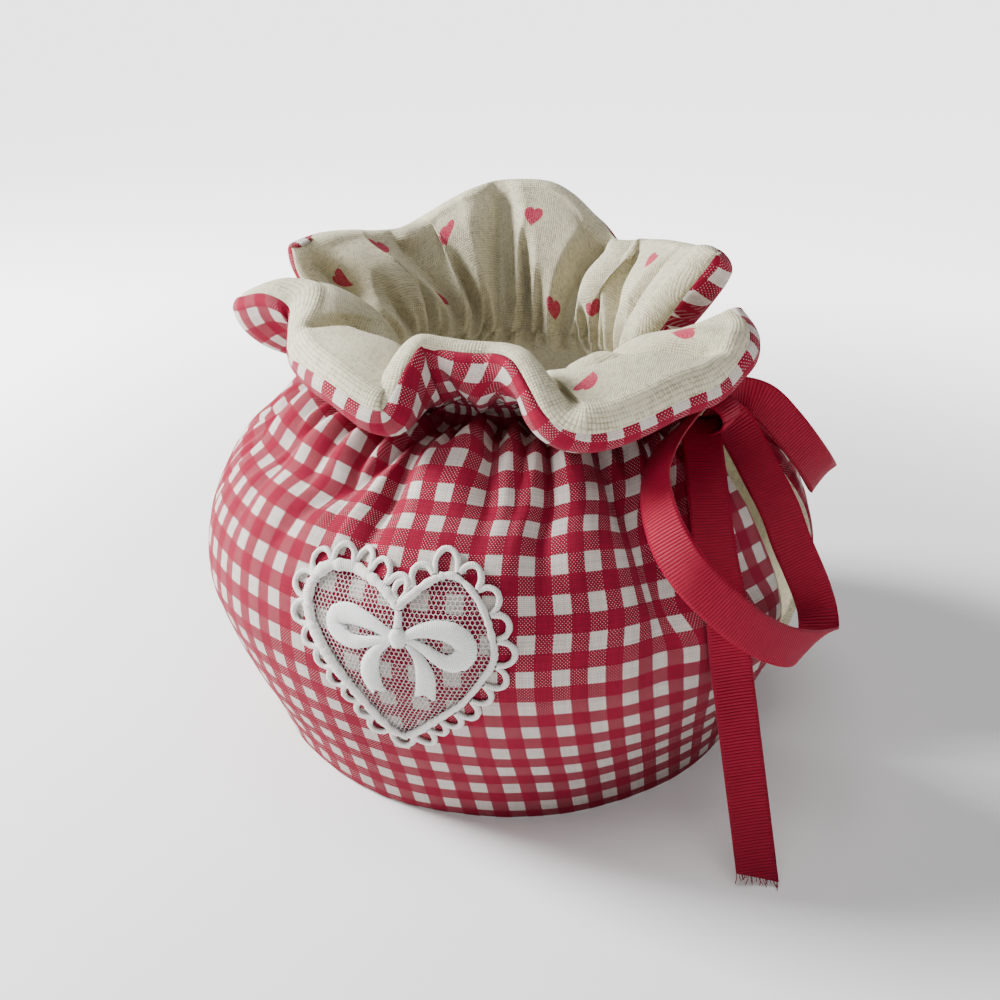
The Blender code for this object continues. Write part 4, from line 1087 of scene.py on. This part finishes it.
def gingham_material():
    """Red and white checks, plain woven, with half-tone squares of red over white threads."""
    shop = Shop("gingham_weave")
    u, v = shop.places()
    column, row, over, height = woven(u, v, GINGHAM_THREAD)
    warp_red, weft_red = (
        ((thread * GINGHAM_THREAD + CHECK_START) / (2 * CHECK)).fraction() < 0.5
        for thread in (column, row))
    on_top = over * warp_red + (1.0 - over) * weft_red
    dot = height.ramp(*DOT_EDGE)
    red = on_top.most((1.0 - dot) * warp_red.most(weft_red))
    thread_id = over * (column * 1.37 + 0.5) + (1.0 - over) * (row * 2.11 + 7.5)
    tint = shop.chance(shop.point(thread_id, 3.0, 1.0))
    cloudy = shop.noise(shop.point(u, v), 0.35, 3.0)
    # Tint and cloudy tone are the cloth's own; the height term is painted shade between the
    # threads and a painted highlight on their tops.
    shade = 0.80 + 0.30 * tint + 0.30 * (cloudy - 0.5) + 0.55 * (height - 0.55)
    shading = shop.node("ShaderNodeCombineColor", {}, shade, shade, shade)
    colour = shop.mix(1.0, shop.mix(red, GINGHAM_WHITE, GINGHAM_RED), shading, "MULTIPLY")
    shop.set(Base_Color=colour, Normal=shop.bump(height + 0.25 * cloudy, 0.10, 0.8),
             Roughness=0.88, Sheen_Weight=0.04, Sheen_Roughness=0.5, Specular_IOR_Level=0.1)
    return shop.material


LINEN_THREAD = 0.72
# Ends of the linen's tone; the dark end also carries painted shade between the threads.
LINEN_LIGHT = (0.65, 0.60, 0.43)
LINEN_DARK = (0.23, 0.195, 0.12)
LINEN_FLECK = (0.11, 0.08, 0.05)
PRINT_RED = (0.44, 0.030, 0.075)
HEART_SIZE = 3.1                  # half width of a printed heart
HEART_EDGE = (0.86, 0.98)         # how softly its edge ends


def printed_heart(shop):
    """1 on a printed heart and 0 off it, with a slightly ragged edge."""
    x, y = shop.places(PRINT_LAYER, HEART_SIZE)
    y = y + 0.1
    ragged = shop.noise(shop.point(x * 3.0, y * 3.0), 1.6) * 0.16 - 0.08
    lift = y - 0.72 * abs(x).root()
    return 1.0 - (x * x * 0.9 + lift * lift + ragged).ramp(*HEART_EDGE)


def linen_material():
    """Slubby undyed linen with small printed hearts."""
    shop = Shop("linen_weave")
    u, v = shop.places()
    wave_u = shop.noise(shop.point(u * 0.6, v * 0.05), 1.0) * 0.5
    wave_v = shop.noise(shop.point(u * 0.05, v * 0.6), 1.0) * 0.5
    column, row, over, height = woven(u + wave_u, v + wave_v, LINEN_THREAD)
    slub_warp = shop.noise(shop.point(column * 3.1, v * 0.22), 1.0, 3.0, 0.6)
    slub_weft = shop.noise(shop.point(u * 0.22, row * 3.1), 1.0, 3.0, 0.6)
    slub = over * slub_warp + (1.0 - over) * slub_weft
    fleck = shop.noise(shop.point(u * 1.2, v * 1.2, 5.0), 1.6, 1.0).ramp(0.76, 0.80)
    cloud = shop.noise(shop.point(u, v), 0.12, 3.0)
    speck = shop.chance(shop.point(column, row, 1.0))
    # Slubs, specks and cloudy tone are the linen's own; the height term is painted shade between
    # the threads and a painted highlight on their tops.
    light = (0.15 + 0.75 * slub + 0.6 * (height - 0.45) + 0.3 * (cloud - 0.5)
             + 0.35 * (speck - 0.5)).ramp(-0.05, 0.75)
    plain = shop.mix(light, LINEN_DARK, LINEN_LIGHT)
    flecked = shop.mix(fleck * 0.55, plain, LINEN_FLECK)
    worn = shop.noise(shop.point(u, v, 2.0), 2.4).ramp(0.30, 0.52)
    colour = shop.mix(printed_heart(shop) * (0.75 + 0.25 * worn), flecked, PRINT_RED)
    shop.set(Base_Color=colour, Normal=shop.bump(height + 0.9 * slub, 0.14, 0.9),
             Roughness=0.92, Sheen_Weight=0.08, Specular_IOR_Level=0.2)
    return shop.material


RIB_PITCH = 0.78
RIB_THREAD = 0.22
SELVEDGE = (4.45, 4.7)            # where the ribs end, from the ribbon's middle
RIBBON_RED = (0.36, 0.006, 0.034)
# The colour between the ribs: painted shade, and also the dark end of the ribbon's own uneven
# tint.
RIBBON_DARK = (0.14, 0.002, 0.010)


def ribbon_material():
    """Crimson ribbed ribbon with woven edges."""
    shop = Shop("ribbon_ribs")
    u, v = shop.places()
    rib, thread = ridge(v / RIB_PITCH, 2.2), ridge(u / RIB_THREAD)
    selvedge = abs(u).ramp(*SELVEDGE)
    tint = shop.noise(shop.point(u, v), 0.25)
    height = rib * (1.0 - 0.7 * selvedge) + 0.12 * thread
    # Rib tops are lighter and the hollows between them darker: painted shade between the ribs; the
    # tint is the ribbon's own.
    shop.set(Base_Color=shop.mix(rib * 0.7 + 0.3 * tint, RIBBON_DARK, RIBBON_RED),
             Normal=shop.bump(height, 0.16, 0.9), Roughness=0.50, Sheen_Weight=0.15,
             Sheen_Roughness=0.35, Sheen_Tint=(0.9, 0.08, 0.20), Specular_IOR_Level=0.14)
    return shop.material


LACE_THREADS = {  # colour on top, painted shade colour between the stitches, pitch of the stitches, twist
    "cord": ((0.84, 0.83, 0.79), (0.46, 0.45, 0.42), 0.55, 0.2),
    "satin": ((0.88, 0.89, 0.87), (0.52, 0.54, 0.51), 0.42, 0.0),
    "net": ((0.80, 0.78, 0.76), (0.60, 0.56, 0.55), 0.5, 0.0),
}


def thread_material(name, colour, dark, pitch, twist):
    """White embroidery thread: the stitches run across, or twist round a cord."""
    shop = Shop(name)
    u, v = shop.places()
    rounded = ridge((v + u * twist) / pitch)
    cloud = shop.noise(shop.point(u * 2.0, v * 2.0, 1.0), 1.3)
    # Stitches are lighter on their rounded tops and darker between: painted shade between the
    # stitches; the cloudy tone is the thread's own.
    shade = (rounded * 0.55 + cloud * 0.6).ramp(0.1, 0.95)
    shop.set(Base_Color=shop.mix(shade, dark, colour),
             Normal=shop.bump(rounded + 0.5 * cloud, 0.12, 0.8),
             Roughness=0.72, Sheen_Weight=0.2, Specular_IOR_Level=0.35)
    return shop.material


# ---------------------------------------------------------------- the scene's pieces
BACK_HEARTS = [  # across, part, tilt
    (0.868, 0.91, 10), (0.733, 0.79, -12), (0.542, 0.75, 4), (0.975, 0.67, -20),
    (0.797, 0.375, -25), (0.458, 0.18, -10), (0.302, 0.31, 5), (0.147, 0.79, 15),
]
FRONT_HEARTS = [  # across, part, tilt
    (0.927, 0.70, -14), (0.172, 0.70, 40), (0.748, 0.76, 10), (0.55, 0.2, 0),
]


def dress(piece, material, node):
    """A finished piece: its material, its body and the node it stands for."""
    piece.data.materials.clear()
    piece.data.materials.append(material)
    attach(piece, "root")
    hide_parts(node)


def build_gingham():
    """The two ginghams; returns the front one's cloth for the lace to lie on."""
    material = gingham_material()
    cloths = {}
    for name, panel, main, phase, seam in (
            ("front", FRONT, FRONT_OUT_CREASES, 1, FRONT_HEM),
            ("back", BACK, BACK_OUT_CREASES, 2, BACK_HEM)):
        creases = deepened(main, DEEPEN_OUT) + gathers(GATHERS_OUT, phase)
        cloth = Cloth(panel, 1.0, GINGHAM_PUFF, LINEN_PUFF, creases, phase, seam)
        piece = thicken(gingham_piece("gingham_" + name + "_cloth", cloth), CLOTH_THICK)
        dress(piece, material, "gingham_" + name)
        cloths[name] = cloth
    return cloths["front"]


def build_linen():
    """The two linings with their printed hearts."""
    material = linen_material()
    for name, panel, main, phase, seam, hearts in (
            ("front", FRONT, FRONT_IN_CREASES, 3, FRONT_HEM, FRONT_HEARTS),
            ("back", BACK, BACK_IN_CREASES, 4, BACK_HEM, BACK_HEARTS)):
        creases = deepened(main, DEEPEN_IN, NARROW_IN) + gathers(GATHERS_IN, phase)
        cloth = Cloth(panel, -1.0, LINEN_PUFF, GINGHAM_PUFF, creases, phase, seam, LINEN_FOOT)
        piece = grid_mesh("linen_" + name + "_cloth", cloth.points, cloth.u, cloth.v)
        place_hearts(piece, cloth, hearts)
        dress(thicken(piece, CLOTH_THICK, 1.0), material, "lining_" + name)


def build_lace(cloth):
    """The heart of lace on the front."""
    surface = ClothSurface(cloth)
    line = heart_line(LOOP_COUNT * 10)
    cord, satin, net = (thread_material("lace_" + name, *look)
                        for name, look in LACE_THREADS.items())
    dress(lace_cords(surface, line), cord, "lace_heart")
    dress(lace_net(surface, line), net, "lace_heart")
    for name, rows in BOW_BANDS.items():
        dress(lace_band(surface, name, rows), satin, "lace_heart")


def build_ribbon():
    """The bow at the handle side."""
    material = ribbon_material()
    for name, rows, slant in (("front_loop", FRONT_LOOP, 0.0), ("back_loop", BACK_LOOP, 0.0),
                              ("tail", TAIL, TAIL_SLANT), ("casing_end", CASING_END, 0.0),
                              ("knot", knot_rows(), 0.0)):
        wide = KNOT_WIDE if name == "knot" else RIBBON_WIDE
        piece = ribbon_piece("ribbon_" + name, rows, slant, wide)
        dress(piece, material, "ribbon_bow")
    dress(fray_piece(), material, "ribbon_bow")


# ---------------------------------------------------------------- floor, light and camera
CAMERA_TURN = 19.0
CAMERA_RISE = 25.6
CAMERA_AWAY = 360.0
AIM_HEIGHT = 52.0
LENS = 44.23
SHIFT = (-0.0108, 0.0266)
WORLD_LIGHT = 0.07
FLOOR_SIDE = 30.0                 # half the floor's side, in metres
# The floor's painted glow: dim near the cosy, where it leaves a painted soft shadow, and its
# strength.
GLOW_NEAR, GLOW_STRENGTH = 0.06, 3.0
GLOW_REACH = (0.14, 0.55)         # metres from the middle over which the floor's painted glow comes in
LAMP_AIM = 0.06                   # height the lamps point at, in metres
LAMPS = [  # name, place in metres, size in metres, watts
    ("key", (-0.63, -0.09, 0.46), 0.22, 18.0),
    ("top", (0.02, -0.10, 0.80), 0.4, 2.4),
]


def grey(level):
    """A colour without a hue."""
    return (level,) * 3


def floor_material():
    """Pale paper that glows with painted light, which comes in away from the cosy; near the cosy
    it glows only dimly, which leaves a painted soft shadow round it.
    """
    shop = Shop("floor_paper_painted_glow")
    place = shop.node("ShaderNodeTexCoord", {}, output=3)
    x, y = shop.split(place)
    far = (x * x + y * y).root().ramp(*GLOW_REACH)
    # The emission is painted glow, dim near the cosy as a painted soft shadow.
    shop.set(Base_Color=shop.mix(shop.noise(place, 4.0), grey(0.86), grey(0.90)),
             Emission_Color=shop.mix(far, grey(GLOW_NEAR), grey(1.0)),
             Emission_Strength=GLOW_STRENGTH, Roughness=0.9)
    return shop.material


def build_stage():
    """The plain floor, which glows with painted light, and the soft light from above."""
    mesh = bpy.data.meshes.new("floor")
    mesh.from_pydata([(x * FLOOR_SIDE, y * FLOOR_SIDE, 0)
                      for x, y in ((-1, -1), (1, -1), (1, 1), (-1, 1))], [], [(0, 1, 2, 3)])
    mesh.materials.append(floor_material())
    floor = put("floor", mesh)
    world = bpy.data.worlds.new("studio")
    world.use_nodes = True
    background = world.node_tree.nodes["Background"]
    background.inputs[0].default_value = (1.0, 1.0, 1.0, 1.0)
    background.inputs[1].default_value = WORLD_LIGHT
    bpy.context.scene.world = world
    for name, place, size, power in LAMPS:
        light = bpy.data.lights.new(name, "AREA")
        light.size = size
        light.energy = power
        lamp = put(name, light)
        lamp.location = place
        aim = Vector((0, 0, LAMP_AIM)) - lamp.location
        lamp.rotation_euler = aim.to_track_quat("-Z", "Y").to_euler()


def build_camera():
    """The camera at the front, turned towards the handle and looking down."""
    turn, rise = math.radians(CAMERA_TURN), math.radians(CAMERA_RISE)
    aim = Vector((*AXIS[:2], AIM_HEIGHT)) * MM
    away = Vector((math.sin(turn) * math.cos(rise), -math.cos(turn) * math.cos(rise),
                   math.sin(rise)))
    camera = bpy.data.cameras.new("camera")
    camera.lens = LENS
    camera.sensor_width = 36.0
    camera.shift_x, camera.shift_y = SHIFT
    camera.clip_start = 0.01
    viewer = put("camera", camera)
    viewer.location = aim + away * CAMERA_AWAY * MM
    viewer.rotation_euler = (-away).to_track_quat("-Z", "Y").to_euler()
    bpy.context.scene.camera = viewer


build_camera()
build_stage()
build_lace(build_gingham())
build_linen()
build_ribbon()
